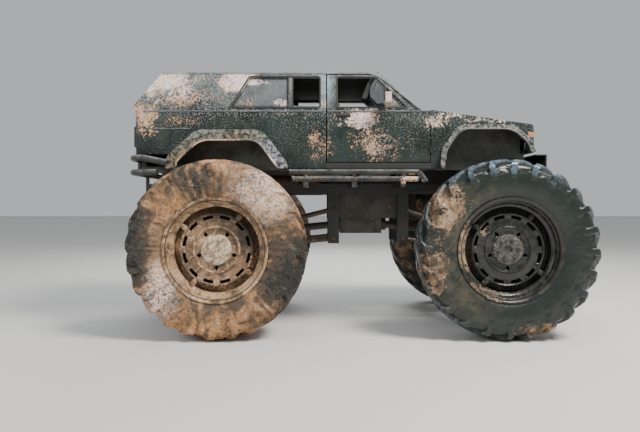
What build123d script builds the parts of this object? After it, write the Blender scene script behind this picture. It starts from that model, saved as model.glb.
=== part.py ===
from build123d import *
import os
from math import cos, hypot, pi, radians, sin

os.makedirs("parts", exist_ok=True)

# A compact two-door 4x4 wagon, raised on farm-tractor tyres.
# The origin is on the ground under the middle of its length: +X forward, +Y to its left, +Z up.

# Wheels and stance
TYRE_OD = 1755.0
TYRE_W = 467.0
RIM_OD = 1016.0
RIM_W = 406.0
BEAD_D = 966.0
TRACK = 2033.0
WHEELBASE = 2820.0
REAR_REACH = 940.0

TYRE_R = TYRE_OD / 2
RIM_R = RIM_OD / 2
BEAD_R = BEAD_D / 2
WHEEL_Y = TRACK / 2
WHEEL_Z = TYRE_R
LENGTH = REAR_REACH + WHEELBASE + TYRE_R
REAR_X = REAR_REACH - LENGTH / 2
FRONT_X = REAR_X + WHEELBASE

# Body stations along X, each from the axle that stands nearest
BODY_BACK_X = REAR_X - 894.0
ROOF_BACK_X = REAR_X - 616.0
SLANT_LOW_X = REAR_X - 880.0
QUARTER_WINDOW_BACK_X = REAR_X + 101.0
QUARTER_WINDOW_TOP_X = REAR_X + 289.0
MULLION_X = REAR_X + 700.0
QUARTER_WINDOW_FRONT_X = REAR_X + 995.0
ROOF_SPLIT_X = REAR_X + 1035.0
DOOR_BACK_X = REAR_X + 1075.0
DOOR_WINDOW_BACK_X = REAR_X + 1167.0
VENT_X = FRONT_X - 1152.0
SCREEN_TOP_X = FRONT_X - 1240.0
SCREEN_LOW_X = FRONT_X - 780.0
DOOR_FRONT_X = FRONT_X - 695.0
HOOD_BACK_X = FRONT_X - 705.0
HOOD_FRONT_X = FRONT_X + 350.0
BODY_FRONT_X = FRONT_X + 390.0

# Body heights above the ground
SILL_Z = 1680.0
QUARTER_LOW_Z = 1825.0
BULGE_Z = 1860.0
BELT_Z = 2272.0
SLANT_LOW_Z = 2330.0
WINDOW_LOW_Z = 2310.0
WINDOW_TOP_Z = 2620.0
ROOF_EDGE_Z = 2680.0
ROOF_CROWN = 25.0
HOOD_BACK_Z = 2280.0
HOOD_FRONT_Z = 2130.0
NOSE_LOW_Z = 1850.0
NOSE_DROP = 45.0

# Body half widths and wall thicknesses
SILL_Y = 790.0
BULGE_Y = 815.0
BELT_Y = 808.0
ROOF_Y = 722.0
FLARE_Y = 845.0
BODY_WALL = 55.0
UPPER_WALL = 45.0
ROOF_T = 25.0
SHEET = 14.0
GLASS_T = 6.0
GLASS_IN = 20.0
BACK_CORNER_R = 90.0
FRONT_CORNER_R = 110.0

# Shut lines, all wide enough for the panel's swing
SHUT_GAP = 8.0
LOCK_GAP = 12.0
PILLAR_W = 32.0
DOOR_FRAME_W = 30.0
ROCKER_H = 60.0
FLOOR_T = 25.0
FENDER_BACK_X = DOOR_FRONT_X + SHUT_GAP

# Ladder frame
RAIL_Y = 350.0
RAIL_W = 100.0
RAIL_H = 110.0
RAIL_Z = 1430.0
CROSS_L = 60.0
RAIL_TOP_Z = RAIL_Z + RAIL_H
RAIL_IN_Y = RAIL_Y - RAIL_W / 2
RAIL_OUT_Y = RAIL_Y + RAIL_W / 2

# Axles, steering and springs
TUBE_R = 75.0
HOUSING_R = 195.0
PINION_Z = WHEEL_Z + 120.0
PINION_REACH = 290.0
SPINDLE_R = 55.0
RUNNING_FIT = 0.05
KINGPIN_Y = 740.0
KINGPIN_R = 25.0
KNUCKLE_R = 95.0
KNUCKLE_H = 224.0
FORK_T = 32.0
FORK_GAP = 5.0
STEER_ARM = 280.0
TIE_ROD_R = 22.0
LINK_R = 25.0
LINK_EYE_R = 38.0
LINK_EYE_W = 56.0
BRACKET_T = 12.0
SHOCK_Y = 480.0
SHOCK_R = 62.0

FAR = 6000.0


def screen_x(z, back=0.0):
    """X of the windscreen's slope at height z, moved back by a distance square to the slope."""
    run = SCREEN_LOW_X - SCREEN_TOP_X
    rise = ROOF_EDGE_Z + ROOF_CROWN - BELT_Z
    slope = hypot(run, rise) / rise
    return SCREEN_LOW_X - (z - BELT_Z) * run / rise - back * slope


def hood_z(x):
    """Height of the hood line at X."""
    return HOOD_BACK_Z + (x - HOOD_BACK_X) * (HOOD_FRONT_Z - HOOD_BACK_Z) / (HOOD_FRONT_X - HOOD_BACK_X)


def outline(plane, points):
    """A closed outline of straight runs, as a face on the plane."""
    with BuildSketch(plane) as drawn:
        with BuildLine():
            Polyline(points, close=True)
        make_face()
    return drawn.sketch


def side_cut(points, mode=Mode.INTERSECT):
    """Cut the open part by an outline in the side view, given as (x, z), right across the body."""
    extrude(outline(Plane.XZ, points), amount=FAR, both=True, mode=mode)


def block(x0, x1, y0, y1, z0, z1, mode=Mode.ADD):
    """A plain block between two corners."""
    floor = outline(Plane.XY.offset(z0), [(x0, y0), (x1, y0), (x1, y1), (x0, y1)])
    extrude(floor, amount=z1 - z0, mode=mode)


def right_side(low_y, high_y=FAR):
    """Keep what the open part has between two distances from the middle, on the right-hand side."""
    block(-FAR, FAR, -high_y, -low_y, 0, FAR, mode=Mode.INTERSECT)


def rod(start, end, radius, mode=Mode.ADD):
    """A round bar from one point to another."""
    run = Vector(*end) - Vector(*start)
    with BuildSketch(Plane(origin=start, z_dir=run)) as section:
        Circle(radius)
    extrude(section.sketch, amount=run.length, mode=mode)


def plan_trim(inset=0.0):
    """Round the open part's corners as seen from above."""
    back, front = BODY_BACK_X + inset, BODY_FRONT_X - inset
    with BuildSketch(Plane.XY) as plan:
        with Locations(((back + front) / 2, 0)):
            Rectangle(front - back, 2 * (BULGE_Y - inset))
        fillet(plan.vertices().group_by(Axis.X)[0], BACK_CORNER_R - inset)
        fillet(plan.vertices().group_by(Axis.X)[-1], FRONT_CORNER_R - inset)
    extrude(plan.sketch, amount=FAR, mode=Mode.INTERSECT)


def lower_body(inset):
    """The body below the belt as one closed form, drawn in by inset on every side."""
    sill, bulge, belt = SILL_Y - inset, BULGE_Y - inset, BELT_Y - inset
    section = [(-sill, SILL_Z), (-bulge, BULGE_Z), (-belt, BELT_Z),
               (belt, BELT_Z), (bulge, BULGE_Z), (sill, SILL_Z)]
    with BuildPart() as form:
        extrude(outline(Plane.YZ.offset(BODY_BACK_X), section), amount=BODY_FRONT_X - BODY_BACK_X)
        plan_trim(inset)
    return form.part


def upper_body(inset, roof_inset):
    """The glazed part of the body above the belt as one closed form, drawn in at sides and roof."""
    belt, roof = BELT_Y - inset, ROOF_Y - inset
    edge_z = ROOF_EDGE_Z - roof_inset
    with BuildPart() as form:
        with BuildSketch(Plane.YZ.offset(BODY_BACK_X)):
            with BuildLine():
                Polyline([(-roof, edge_z), (-belt, BELT_Z), (belt, BELT_Z), (roof, edge_z)])
                ThreePointArc((roof, edge_z), (0, edge_z + ROOF_CROWN), (-roof, edge_z))
            make_face()
        extrude(amount=HOOD_BACK_X - BODY_BACK_X)
    return form.part


LOWER_OUTER = lower_body(0)
LOWER_INNER = lower_body(BODY_WALL)
UPPER_OUTER = upper_body(0, 0)
UPPER_INNER = upper_body(UPPER_WALL, ROOF_T)

# Wheel arches, each from its axle: (x, z) of the opening's corners, from back to front
REAR_ARCH = [(-470, 1600), (-454, 1754), (-212, 1968), (364, 1968), (566, 1698), (580, 1600)]
FRONT_ARCH = [(-556, 1600), (-541, 1866), (-386, 2081), (129, 2081), (288, 1946), (338, 1800),
              (345, 1600)]
ARCH_R = 85.0
ARCH_ROUND_Z = 1850.0
REAR_FLARE_W = 105.0
FRONT_FLARE_W = 45.0


def arch_face(plane, axle_x, corners, grow=0.0):
    """The opening of one wheel arch with its upper corners rounded, grown by a lip's width."""
    with BuildSketch(plane) as opening:
        with BuildLine():
            Polyline([(axle_x + x, z) for x, z in corners], close=True)
        make_face()
        fillet(opening.vertices().filter_by(lambda v: v.Y > ARCH_ROUND_Z), ARCH_R)
        if grow:
            offset(amount=grow)
    return opening.sketch


def cut_arch(axle_x, corners):
    """Cut one wheel arch right across the open part."""
    extrude(arch_face(Plane.XZ, axle_x, corners), amount=FAR, both=True, mode=Mode.SUBTRACT)


def flare(axle_x, corners, width, low_z):
    """The raised lip round a wheel arch, on the right-hand side."""
    wall = Plane.XZ.offset(BULGE_Y - BODY_WALL)
    with BuildPart() as lip:
        extrude(arch_face(wall, axle_x, corners, width), amount=FLARE_Y - BULGE_Y + BODY_WALL)
        cut_arch(axle_x, corners)
        block(axle_x - FAR, axle_x + FAR, -FAR, 0, low_z, FAR, mode=Mode.INTERSECT)
    return lip.part


REAR_LIP = flare(REAR_X, REAR_ARCH, REAR_FLARE_W, SILL_Z)
FRONT_LIP = flare(FRONT_X, FRONT_ARCH, FRONT_FLARE_W, SILL_Z)

# Hinges: barrels of two halves on a pin, outside the shut line so that the panel swings clear
HINGE_R = 9.0
HINGE_PIN_R = 5.0
HINGE_HALF_L = 30.0
HINGE_LEAF = 24.0
HINGE_PLAY = 0.3
HINGE_RELIEF = 3.0
DOOR_HINGE_X = DOOR_FRONT_X + SHUT_GAP / 2
DOOR_HINGE_Y = BULGE_Y + 2.0
DOOR_HINGE_Z = (1870.0, 2150.0)
HOOD_HINGE_X = HOOD_BACK_X + SHUT_GAP / 2
HOOD_HINGE_Z = HOOD_BACK_Z + 3.0
HOOD_HINGE_Y = 480.0
TAILGATE_HALF = 640.0
TAILGATE_LOW_Z = 1835.0
TAILGATE_HINGE_X = BODY_BACK_X - 3.0
TAILGATE_HINGE_Z = TAILGATE_LOW_Z - SHUT_GAP / 2
TAILGATE_HINGE_Y = 430.0
SIDES = (-1, 1)


def fixed_barrel(at, along):
    """Fixed half of one hinge with its pin, and room for the moving half beyond it."""
    middle, run = Vector(*at), Vector(*along)
    rod(middle, middle + run * (HINGE_HALF_L + HINGE_RELIEF), HINGE_R + HINGE_RELIEF, mode=Mode.SUBTRACT)
    rod(middle - run * HINGE_HALF_L, middle, HINGE_R)
    rod(middle - run * HINGE_HALF_L, middle + run * HINGE_HALF_L, HINGE_PIN_R)


def moving_barrel(at, along):
    """Moving half of the same hinge, bored for the pin, and room for the fixed half."""
    middle, run = Vector(*at), Vector(*along)
    rod(middle - run * (HINGE_HALF_L + HINGE_RELIEF), middle + run * HINGE_PLAY, HINGE_R + HINGE_RELIEF,
        mode=Mode.SUBTRACT)
    rod(middle + run * HINGE_PLAY, middle + run * HINGE_HALF_L, HINGE_R)
    rod(middle, middle + run * HINGE_HALF_L, HINGE_PIN_R + RUNNING_FIT, mode=Mode.SUBTRACT)


def fixed_cross_hinges(half_y, axis_x, axis_z, leaf_x, leaf_z):
    """Fixed halves of a pair of hinges across the body, with a leaf under each."""
    for side in SIDES:
        y = side * half_y
        block(leaf_x[0], leaf_x[1], y - HINGE_HALF_L, y, leaf_z[0], leaf_z[1])
        fixed_barrel((axis_x, y, axis_z), (0, 1, 0))


def moving_cross_hinges(half_y, axis_x, axis_z, leaf_x, leaf_z):
    """Moving halves of the same pair."""
    for side in SIDES:
        y = side * half_y
        block(leaf_x[0], leaf_x[1], y + HINGE_PLAY, y + HINGE_HALF_L, leaf_z[0], leaf_z[1])
        moving_barrel((axis_x, y, axis_z), (0, 1, 0))


def door_leaf(x0, x1, z0, z1):
    """Leaf of a right-hand door hinge, laid on the skin and let into it."""
    block(x0, x1, -DOOR_HINGE_Y - HINGE_PIN_R, -BULGE_Y + BODY_WALL / 2, z0, z1)


# Rear quarter panels: one thick wall with its wheel arch and the corner beside the tailgate

with BuildPart() as quarter_right:
    add(LOWER_OUTER)
    add(LOWER_INNER, mode=Mode.SUBTRACT)
    right_side(TAILGATE_HALF + SHUT_GAP)
    side_cut([
        (BODY_BACK_X, QUARTER_LOW_Z), (BODY_BACK_X, BELT_Z), (DOOR_BACK_X - LOCK_GAP, BELT_Z),
        (DOOR_BACK_X - LOCK_GAP, SILL_Z), (REAR_X, SILL_Z), (REAR_X, QUARTER_LOW_Z),
    ])
    cut_arch(REAR_X, REAR_ARCH)
    add(REAR_LIP)
quarter_right.part.label = "quarter_right"
export_step(quarter_right.part, "parts/quarter_right.step")

with BuildPart() as quarter_left:
    mirror(quarter_right.part, about=Plane.XZ)
quarter_left.part.label = "quarter_left"
export_step(quarter_left.part, "parts/quarter_left.step")

# Front fenders: side wall, top ledge beside the hood and the corner beside the grille
HOOD_HALF = 632.0
FENDER_IN_Y = HOOD_HALF + SHUT_GAP


def nose_outline(top_in, front_in):
    """Side view of the body ahead of the doors, its top and front drawn in."""
    front = BODY_FRONT_X - front_in
    return [
        (FENDER_BACK_X - front_in, SILL_Z - top_in),
        (FENDER_BACK_X - front_in, hood_z(FENDER_BACK_X - front_in) - top_in),
        (HOOD_FRONT_X - front_in, hood_z(HOOD_FRONT_X - front_in) - top_in),
        (front, HOOD_FRONT_Z - NOSE_DROP - top_in),
        (front, NOSE_LOW_Z - top_in),
        (FRONT_X, NOSE_LOW_Z - top_in),
        (FRONT_X, SILL_Z - top_in),
    ]


def nose_form(inset, top_in):
    """The body ahead of the doors as one closed form, drawn in at its sides, top and front."""
    sill, bulge, belt = SILL_Y - inset, BULGE_Y - inset, BELT_Y - inset
    half = [(sill, SILL_Z - top_in), (bulge, BULGE_Z), (belt, BELT_Z), (belt, HOOD_BACK_Z)]
    section = half + [(-y, z) for y, z in reversed(half)]
    with BuildPart() as form:
        extrude(outline(Plane.YZ.offset(FENDER_BACK_X - inset), section),
                amount=BODY_FRONT_X - FENDER_BACK_X + inset)
        plan_trim(inset)
        side_cut(nose_outline(top_in, inset))
    return form.part


NOSE_OUTER = nose_form(0, 0)
NOSE_INNER = nose_form(BODY_WALL, ROOF_T)

with BuildPart() as fender_right:
    add(NOSE_OUTER)
    add(NOSE_INNER, mode=Mode.SUBTRACT)
    right_side(FENDER_IN_Y)
    cut_arch(FRONT_X, FRONT_ARCH)
    add(FRONT_LIP)
    side_cut(nose_outline(0, 0))
    for z in DOOR_HINGE_Z:
        door_leaf(DOOR_HINGE_X, DOOR_HINGE_X + HINGE_LEAF, z - HINGE_HALF_L, z)
        fixed_barrel((DOOR_HINGE_X, -DOOR_HINGE_Y, z), (0, 0, 1))
fender_right.part.label = "fender_right"
export_step(fender_right.part, "parts/fender_right.step")

with BuildPart() as fender_left:
    mirror(fender_right.part, about=Plane.XZ)
fender_left.part.label = "fender_left"
export_step(fender_left.part, "parts/fender_left.step")

# Hood: one pressed lid between the fenders, hinged at the cowl, its nose turned down over the grille
HOOD_INNER = nose_form(ROOF_T, ROOF_T)
HOOD_LOW_Z = HOOD_FRONT_Z - NOSE_DROP - ROOF_T

with BuildPart() as hood:
    add(NOSE_OUTER)
    add(HOOD_INNER, mode=Mode.SUBTRACT)
    block(HOOD_BACK_X + SHUT_GAP, BODY_FRONT_X, -HOOD_HALF, HOOD_HALF, HOOD_LOW_Z, HOOD_BACK_Z,
          mode=Mode.INTERSECT)
    moving_cross_hinges(HOOD_HINGE_Y, HOOD_HINGE_X, HOOD_HINGE_Z, (HOOD_HINGE_X, HOOD_HINGE_X + HINGE_LEAF),
                        (HOOD_BACK_Z - ROOF_T / 2, HOOD_HINGE_Z + HINGE_PIN_R))
hood.part.label = "hood"
export_step(hood.part, "parts/hood.step")

# Cab roof: the steel roof over the seats with its windscreen pillars and lock pillars
RAIL_LOW_Z = ROOF_EDGE_Z - ROOF_T
DOOR_TOP_Z = RAIL_LOW_Z - SHUT_GAP

CAB_ROOF_VIEWS = [
    [(ROOF_SPLIT_X, RAIL_LOW_Z), (ROOF_SPLIT_X, FAR), (SCREEN_TOP_X, FAR),
     (SCREEN_TOP_X, ROOF_EDGE_Z + ROOF_CROWN), (screen_x(RAIL_LOW_Z), RAIL_LOW_Z)],
    [(screen_x(BELT_Z), BELT_Z), (screen_x(BELT_Z, PILLAR_W), BELT_Z),
     (screen_x(ROOF_EDGE_Z, PILLAR_W), ROOF_EDGE_Z), (screen_x(ROOF_EDGE_Z), ROOF_EDGE_Z)],
    [(ROOF_SPLIT_X, BELT_Z), (DOOR_BACK_X - LOCK_GAP, BELT_Z),
     (DOOR_BACK_X - LOCK_GAP, ROOF_EDGE_Z), (ROOF_SPLIT_X, ROOF_EDGE_Z)],
]

with BuildPart() as cab_roof_views:
    for view in CAB_ROOF_VIEWS:
        side_cut(view, mode=Mode.ADD)

with BuildPart() as cab_roof:
    add(UPPER_OUTER)
    add(UPPER_INNER, mode=Mode.SUBTRACT)
    add(cab_roof_views.part, mode=Mode.INTERSECT)
cab_roof.part.label = "cab_roof"
export_step(cab_roof.part, "parts/cab_roof.step")

# Topper: the moulded hard top over the load space, with its side windows and slanted back window
REAR_GLASS_HALF = 560.0
BACK_WALL = 50.0
REAR_GLASS_LOW_Z = 2370.0
REAR_GLASS_DROP = 55.0
REAR_GLASS_TOP_Z = ROOF_EDGE_Z - REAR_GLASS_DROP
MULLION_W = 50.0


def slant_x(z, inset=0.0):
    """X of the slanted back of the topper at height z, moved forward by a distance square to it."""
    run = ROOF_BACK_X - SLANT_LOW_X
    rise = ROOF_EDGE_Z - SLANT_LOW_Z
    return SLANT_LOW_X + (z - SLANT_LOW_Z) * run / rise + inset * hypot(run, rise) / rise


ROOF_TOP_Z = ROOF_EDGE_Z + ROOF_CROWN
TOPPER_SIDE = [
    (BODY_BACK_X, BELT_Z), (BODY_BACK_X, SLANT_LOW_Z), (slant_x(ROOF_TOP_Z), ROOF_TOP_Z),
    (ROOF_SPLIT_X, ROOF_TOP_Z), (ROOF_SPLIT_X, BELT_Z),
]
TOPPER_HOLLOW = [
    (slant_x(BELT_Z, BACK_WALL), BELT_Z), (slant_x(ROOF_TOP_Z, BACK_WALL), ROOF_TOP_Z),
    (ROOF_SPLIT_X, ROOF_TOP_Z), (ROOF_SPLIT_X, BELT_Z),
]
REAR_QUARTER_WINDOW = [
    (QUARTER_WINDOW_BACK_X, WINDOW_LOW_Z), (QUARTER_WINDOW_TOP_X, WINDOW_TOP_Z),
    (MULLION_X - MULLION_W / 2, WINDOW_TOP_Z), (MULLION_X - MULLION_W / 2, WINDOW_LOW_Z),
]
SLIDER_WINDOW = [
    (MULLION_X + MULLION_W / 2, WINDOW_LOW_Z), (MULLION_X + MULLION_W / 2, WINDOW_TOP_Z),
    (QUARTER_WINDOW_FRONT_X, WINDOW_TOP_Z), (QUARTER_WINDOW_FRONT_X, WINDOW_LOW_Z),
]

with BuildPart() as topper_hollow:
    add(UPPER_INNER)
    side_cut(TOPPER_HOLLOW)

with BuildPart() as topper:
    add(UPPER_OUTER)
    side_cut(TOPPER_SIDE)
    add(topper_hollow.part, mode=Mode.SUBTRACT)
    side_cut(REAR_QUARTER_WINDOW, mode=Mode.SUBTRACT)
    side_cut(SLIDER_WINDOW, mode=Mode.SUBTRACT)
    block(BODY_BACK_X, ROOF_BACK_X, -REAR_GLASS_HALF, REAR_GLASS_HALF,
          REAR_GLASS_LOW_Z, REAR_GLASS_TOP_Z, mode=Mode.SUBTRACT)
topper.part.label = "topper"
export_step(topper.part, "parts/topper.step")

# Body tub: floor, rockers, firewall, cowl, rear wheel housings and front inner fenders
FLOOR_Y = BULGE_Y - BODY_WALL
FLOOR_TOP_Z = SILL_Z + FLOOR_T
FIREWALL_X = FRONT_X - 760.0
COWL_OVER = 30.0
COWL_BACK_X = SCREEN_LOW_X - COWL_OVER
COWL_Y = BELT_Y - BODY_WALL - SHUT_GAP
HOUSING_IN_Y = 520.0
HOUSING_TOP_Z = 2010.0
HOUSING_BACK_X = REAR_X - 485.0
HOUSING_FRONT_X = REAR_X + 600.0
APRON_Y = 560.0
APRON_TOP_Z = 2105.0
APRON_SHELF_X = FIREWALL_X + SHEET + 100.0
ROCKER_Y = SILL_Y + 8.0
NOSE_BAR_X = FRONT_X + 300.0
NOSE_BAR_L = 40.0
REAR_SILL_X = BODY_BACK_X + 28.0
REAR_SILL_T = 47.0

with BuildPart() as body_tub:
    block(BODY_BACK_X + BACK_WALL, FIREWALL_X + SHEET, -SILL_Y + BODY_WALL, SILL_Y - BODY_WALL,
          SILL_Z, FLOOR_TOP_Z)
    block(FIREWALL_X, FIREWALL_X + SHEET, -SILL_Y + BODY_WALL, SILL_Y - BODY_WALL,
          SILL_Z, HOOD_BACK_Z - ROOF_T)
    block(COWL_BACK_X, HOOD_BACK_X, -COWL_Y, COWL_Y, HOOD_BACK_Z - ROOF_T, HOOD_BACK_Z)
    for side in SIDES:
        low_y, high_y = sorted((side * (SILL_Y - BODY_WALL), side * ROCKER_Y))
        block(DOOR_BACK_X - LOCK_GAP, FENDER_BACK_X, low_y, high_y, SILL_Z, SILL_Z + ROCKER_H)
        low_y, high_y = sorted((side * HOUSING_IN_Y, side * FLOOR_Y))
        block(HOUSING_BACK_X, HOUSING_FRONT_X, low_y, high_y, SILL_Z, HOUSING_TOP_Z)
        low_y, high_y = sorted((side * (HOUSING_IN_Y + SHEET), side * (FLOOR_Y + SHEET)))
        block(HOUSING_BACK_X + SHEET, HOUSING_FRONT_X - SHEET, low_y, high_y,
              SILL_Z - SHEET, HOUSING_TOP_Z - SHEET, mode=Mode.SUBTRACT)
        low_y, high_y = sorted((side * APRON_Y, side * (APRON_Y + SHEET)))
        block(FIREWALL_X, NOSE_BAR_X, low_y, high_y, SILL_Z, APRON_TOP_Z)
        low_y, high_y = sorted((side * APRON_Y, side * FLOOR_Y))
        block(APRON_SHELF_X, NOSE_BAR_X, low_y, high_y, APRON_TOP_Z - SHEET, APRON_TOP_Z)
    block(NOSE_BAR_X, NOSE_BAR_X + NOSE_BAR_L, -APRON_Y - SHEET, APRON_Y + SHEET, SILL_Z, NOSE_LOW_Z)
    block(REAR_SILL_X, REAR_SILL_X + REAR_SILL_T, -TAILGATE_HALF, TAILGATE_HALF,
          SILL_Z, TAILGATE_LOW_Z - SHUT_GAP)
    fixed_cross_hinges(HOOD_HINGE_Y, HOOD_HINGE_X, HOOD_HINGE_Z, (HOOD_HINGE_X - HINGE_LEAF, HOOD_HINGE_X),
                       (HOOD_BACK_Z - ROOF_T, HOOD_HINGE_Z + HINGE_PIN_R))
    fixed_cross_hinges(TAILGATE_HINGE_Y, TAILGATE_HINGE_X, TAILGATE_HINGE_Z,
                       (TAILGATE_HINGE_X, REAR_SILL_X + REAR_SILL_T),
                       (TAILGATE_HINGE_Z - HINGE_R, TAILGATE_HINGE_Z))
    for panel in (quarter_right, quarter_left, fender_right, fender_left):
        add(panel.part, mode=Mode.SUBTRACT)
body_tub.part.label = "body_tub"
export_step(body_tub.part, "parts/body_tub.step")

# Doors: the whole door with its window frame, its window wound down
DOOR_LOW_Z = SILL_Z + ROCKER_H + SHUT_GAP
PILLAR_GAP = 7.0
DOOR_SLOPE_BACK = PILLAR_W + PILLAR_GAP
WINDOW_SLOPE_BACK = DOOR_SLOPE_BACK + DOOR_FRAME_W
VENT_BAR_W = 18.0
VENT_BACK_X = VENT_X - VENT_BAR_W / 2
VENT_FRONT_X = VENT_X + VENT_BAR_W / 2


def window_slope_z(x):
    """Height of the door window's slanted front edge at X."""
    low, high = screen_x(WINDOW_LOW_Z, WINDOW_SLOPE_BACK), screen_x(WINDOW_TOP_Z, WINDOW_SLOPE_BACK)
    return WINDOW_LOW_Z + (low - x) * (WINDOW_TOP_Z - WINDOW_LOW_Z) / (low - high)


DOOR_WINDOW = [
    (DOOR_WINDOW_BACK_X, WINDOW_LOW_Z), (DOOR_WINDOW_BACK_X, WINDOW_TOP_Z),
    (screen_x(WINDOW_TOP_Z, WINDOW_SLOPE_BACK), WINDOW_TOP_Z),
    (VENT_BACK_X, window_slope_z(VENT_BACK_X)), (VENT_BACK_X, WINDOW_LOW_Z),
]
VENT_WINDOW = [
    (VENT_FRONT_X, WINDOW_LOW_Z), (VENT_FRONT_X, window_slope_z(VENT_FRONT_X)),
    (screen_x(WINDOW_LOW_Z, WINDOW_SLOPE_BACK), WINDOW_LOW_Z),
]

with BuildPart() as door_right:
    add(LOWER_OUTER)
    add(UPPER_OUTER)
    add(LOWER_INNER, mode=Mode.SUBTRACT)
    add(UPPER_INNER, mode=Mode.SUBTRACT)
    right_side(ROOF_Y - 2 * BODY_WALL)
    side_cut([
        (DOOR_BACK_X, DOOR_LOW_Z), (DOOR_BACK_X, DOOR_TOP_Z),
        (screen_x(DOOR_TOP_Z, DOOR_SLOPE_BACK), DOOR_TOP_Z), (screen_x(BELT_Z, DOOR_SLOPE_BACK), BELT_Z),
        (DOOR_FRONT_X, BELT_Z), (DOOR_FRONT_X, DOOR_LOW_Z),
    ])
    side_cut(DOOR_WINDOW, mode=Mode.SUBTRACT)
    side_cut(VENT_WINDOW, mode=Mode.SUBTRACT)
    for z in DOOR_HINGE_Z:
        door_leaf(DOOR_HINGE_X - HINGE_LEAF, DOOR_HINGE_X, z + HINGE_PLAY, z + HINGE_HALF_L)
        moving_barrel((DOOR_HINGE_X, -DOOR_HINGE_Y, z), (0, 0, 1))
door_right.part.label = "door_right"
export_step(door_right.part, "parts/door_right.step")

with BuildPart() as door_left:
    mirror(door_right.part, about=Plane.XZ)
door_left.part.label = "door_left"
export_step(door_left.part, "parts/door_left.step")

# Tailgate: the drop-down gate between the quarter panels, hinged along its lower edge
with BuildPart() as tailgate:
    add(LOWER_OUTER)
    add(LOWER_INNER, mode=Mode.SUBTRACT)
    block(BODY_BACK_X - BODY_WALL, BODY_BACK_X + BODY_WALL, -TAILGATE_HALF, TAILGATE_HALF,
          TAILGATE_LOW_Z, BELT_Z - SHUT_GAP, mode=Mode.INTERSECT)
    moving_cross_hinges(TAILGATE_HINGE_Y, TAILGATE_HINGE_X, TAILGATE_HINGE_Z,
                        (TAILGATE_HINGE_X - HINGE_PIN_R, BODY_BACK_X + SHEET),
                        (TAILGATE_HINGE_Z, TAILGATE_HINGE_Z + HINGE_LEAF))
tailgate.part.label = "tailgate"
export_step(tailgate.part, "parts/tailgate.step")

# Grille panel with its lamp openings and the bars of the grille
GRILLE_TOP_Z = HOOD_FRONT_Z - NOSE_DROP - ROOF_T - SHUT_GAP
GRILLE_T = 40.0
GRILLE_HALF = 420.0
GRILLE_MARGIN = 42.0
GRILLE_BARS = 5
GRILLE_BAR_H = 9.0
LAMP_Y = 535.0
LAMP_W = 190.0
LAMP_H = 130.0
LAMP_T = 60.0
GRILLE_LOW_Z = NOSE_LOW_Z
GRILLE_Z = (GRILLE_TOP_Z + GRILLE_LOW_Z) / 2
GRILLE_OPEN_H = GRILLE_TOP_Z - GRILLE_LOW_Z - 2 * GRILLE_MARGIN
GRILLE_BACK_X = BODY_FRONT_X - GRILLE_T

with BuildPart() as grille_panel:
    block(GRILLE_BACK_X, BODY_FRONT_X, -FENDER_IN_Y, FENDER_IN_Y, GRILLE_LOW_Z, GRILLE_TOP_Z)
    block(GRILLE_BACK_X, BODY_FRONT_X, -GRILLE_HALF, GRILLE_HALF,
          GRILLE_Z - GRILLE_OPEN_H / 2, GRILLE_Z + GRILLE_OPEN_H / 2, mode=Mode.SUBTRACT)
    for side in SIDES:
        block(GRILLE_BACK_X, BODY_FRONT_X, side * LAMP_Y - LAMP_W / 2, side * LAMP_Y + LAMP_W / 2,
              GRILLE_Z - LAMP_H / 2, GRILLE_Z + LAMP_H / 2, mode=Mode.SUBTRACT)
    for index in range(GRILLE_BARS):
        bar_z = GRILLE_Z + (index - (GRILLE_BARS - 1) / 2) * GRILLE_OPEN_H / (GRILLE_BARS + 1)
        block(GRILLE_BACK_X + GRILLE_T / 3, BODY_FRONT_X - GRILLE_T / 6, -GRILLE_HALF, GRILLE_HALF,
              bar_z - GRILLE_BAR_H / 2, bar_z + GRILLE_BAR_H / 2)
    block(GRILLE_BACK_X, GRILLE_BACK_X + GRILLE_T / 3, -GRILLE_BAR_H, GRILLE_BAR_H,
          GRILLE_Z - GRILLE_OPEN_H / 2, GRILLE_Z + GRILLE_OPEN_H / 2)
    block(NOSE_BAR_X, GRILLE_BACK_X, -FENDER_IN_Y, FENDER_IN_Y, GRILLE_LOW_Z, GRILLE_LOW_Z + SHEET)
grille_panel.part.label = "grille_panel"
export_step(grille_panel.part, "parts/grille_panel.step")

# Lamps: two head lamps in the grille panel and two tail lamps on the back corners
TAIL_LAMP_W = 80.0
TAIL_LAMP_GAP = 20.0
TAIL_LAMP_Y = TAILGATE_HALF + TAIL_LAMP_GAP + TAIL_LAMP_W / 2
TAIL_LAMP_H = 210.0
TAIL_LAMP_Z = 2010.0
TAIL_LAMP_T = 22.0

with BuildPart() as lamps:
    for side in SIDES:
        block(BODY_FRONT_X - LAMP_T, BODY_FRONT_X - SHEET / 2, side * LAMP_Y - LAMP_W / 2,
              side * LAMP_Y + LAMP_W / 2, GRILLE_Z - LAMP_H / 2, GRILLE_Z + LAMP_H / 2)
        block(BODY_BACK_X - TAIL_LAMP_T, BODY_BACK_X + TAIL_LAMP_T, side * TAIL_LAMP_Y - TAIL_LAMP_W / 2,
              side * TAIL_LAMP_Y + TAIL_LAMP_W / 2, TAIL_LAMP_Z - TAIL_LAMP_H / 2,
              TAIL_LAMP_Z + TAIL_LAMP_H / 2)
    add(quarter_right.part, mode=Mode.SUBTRACT)
    add(quarter_left.part, mode=Mode.SUBTRACT)
lamps.part.label = "lamps"
export_step(lamps.part, "parts/lamps.step")

# Fixed glass: the windscreen, the rear panes of the quarter windows and the back window
SCREEN_GLASS_IN = 8.0


def slope_band(slope, near, far, low_z, high_z):
    """Side view of a thin band along a slope, between two distances square to it."""
    return [(slope(low_z, near), low_z), (slope(high_z, near), high_z),
            (slope(high_z, far), high_z), (slope(low_z, far), low_z)]


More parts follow.
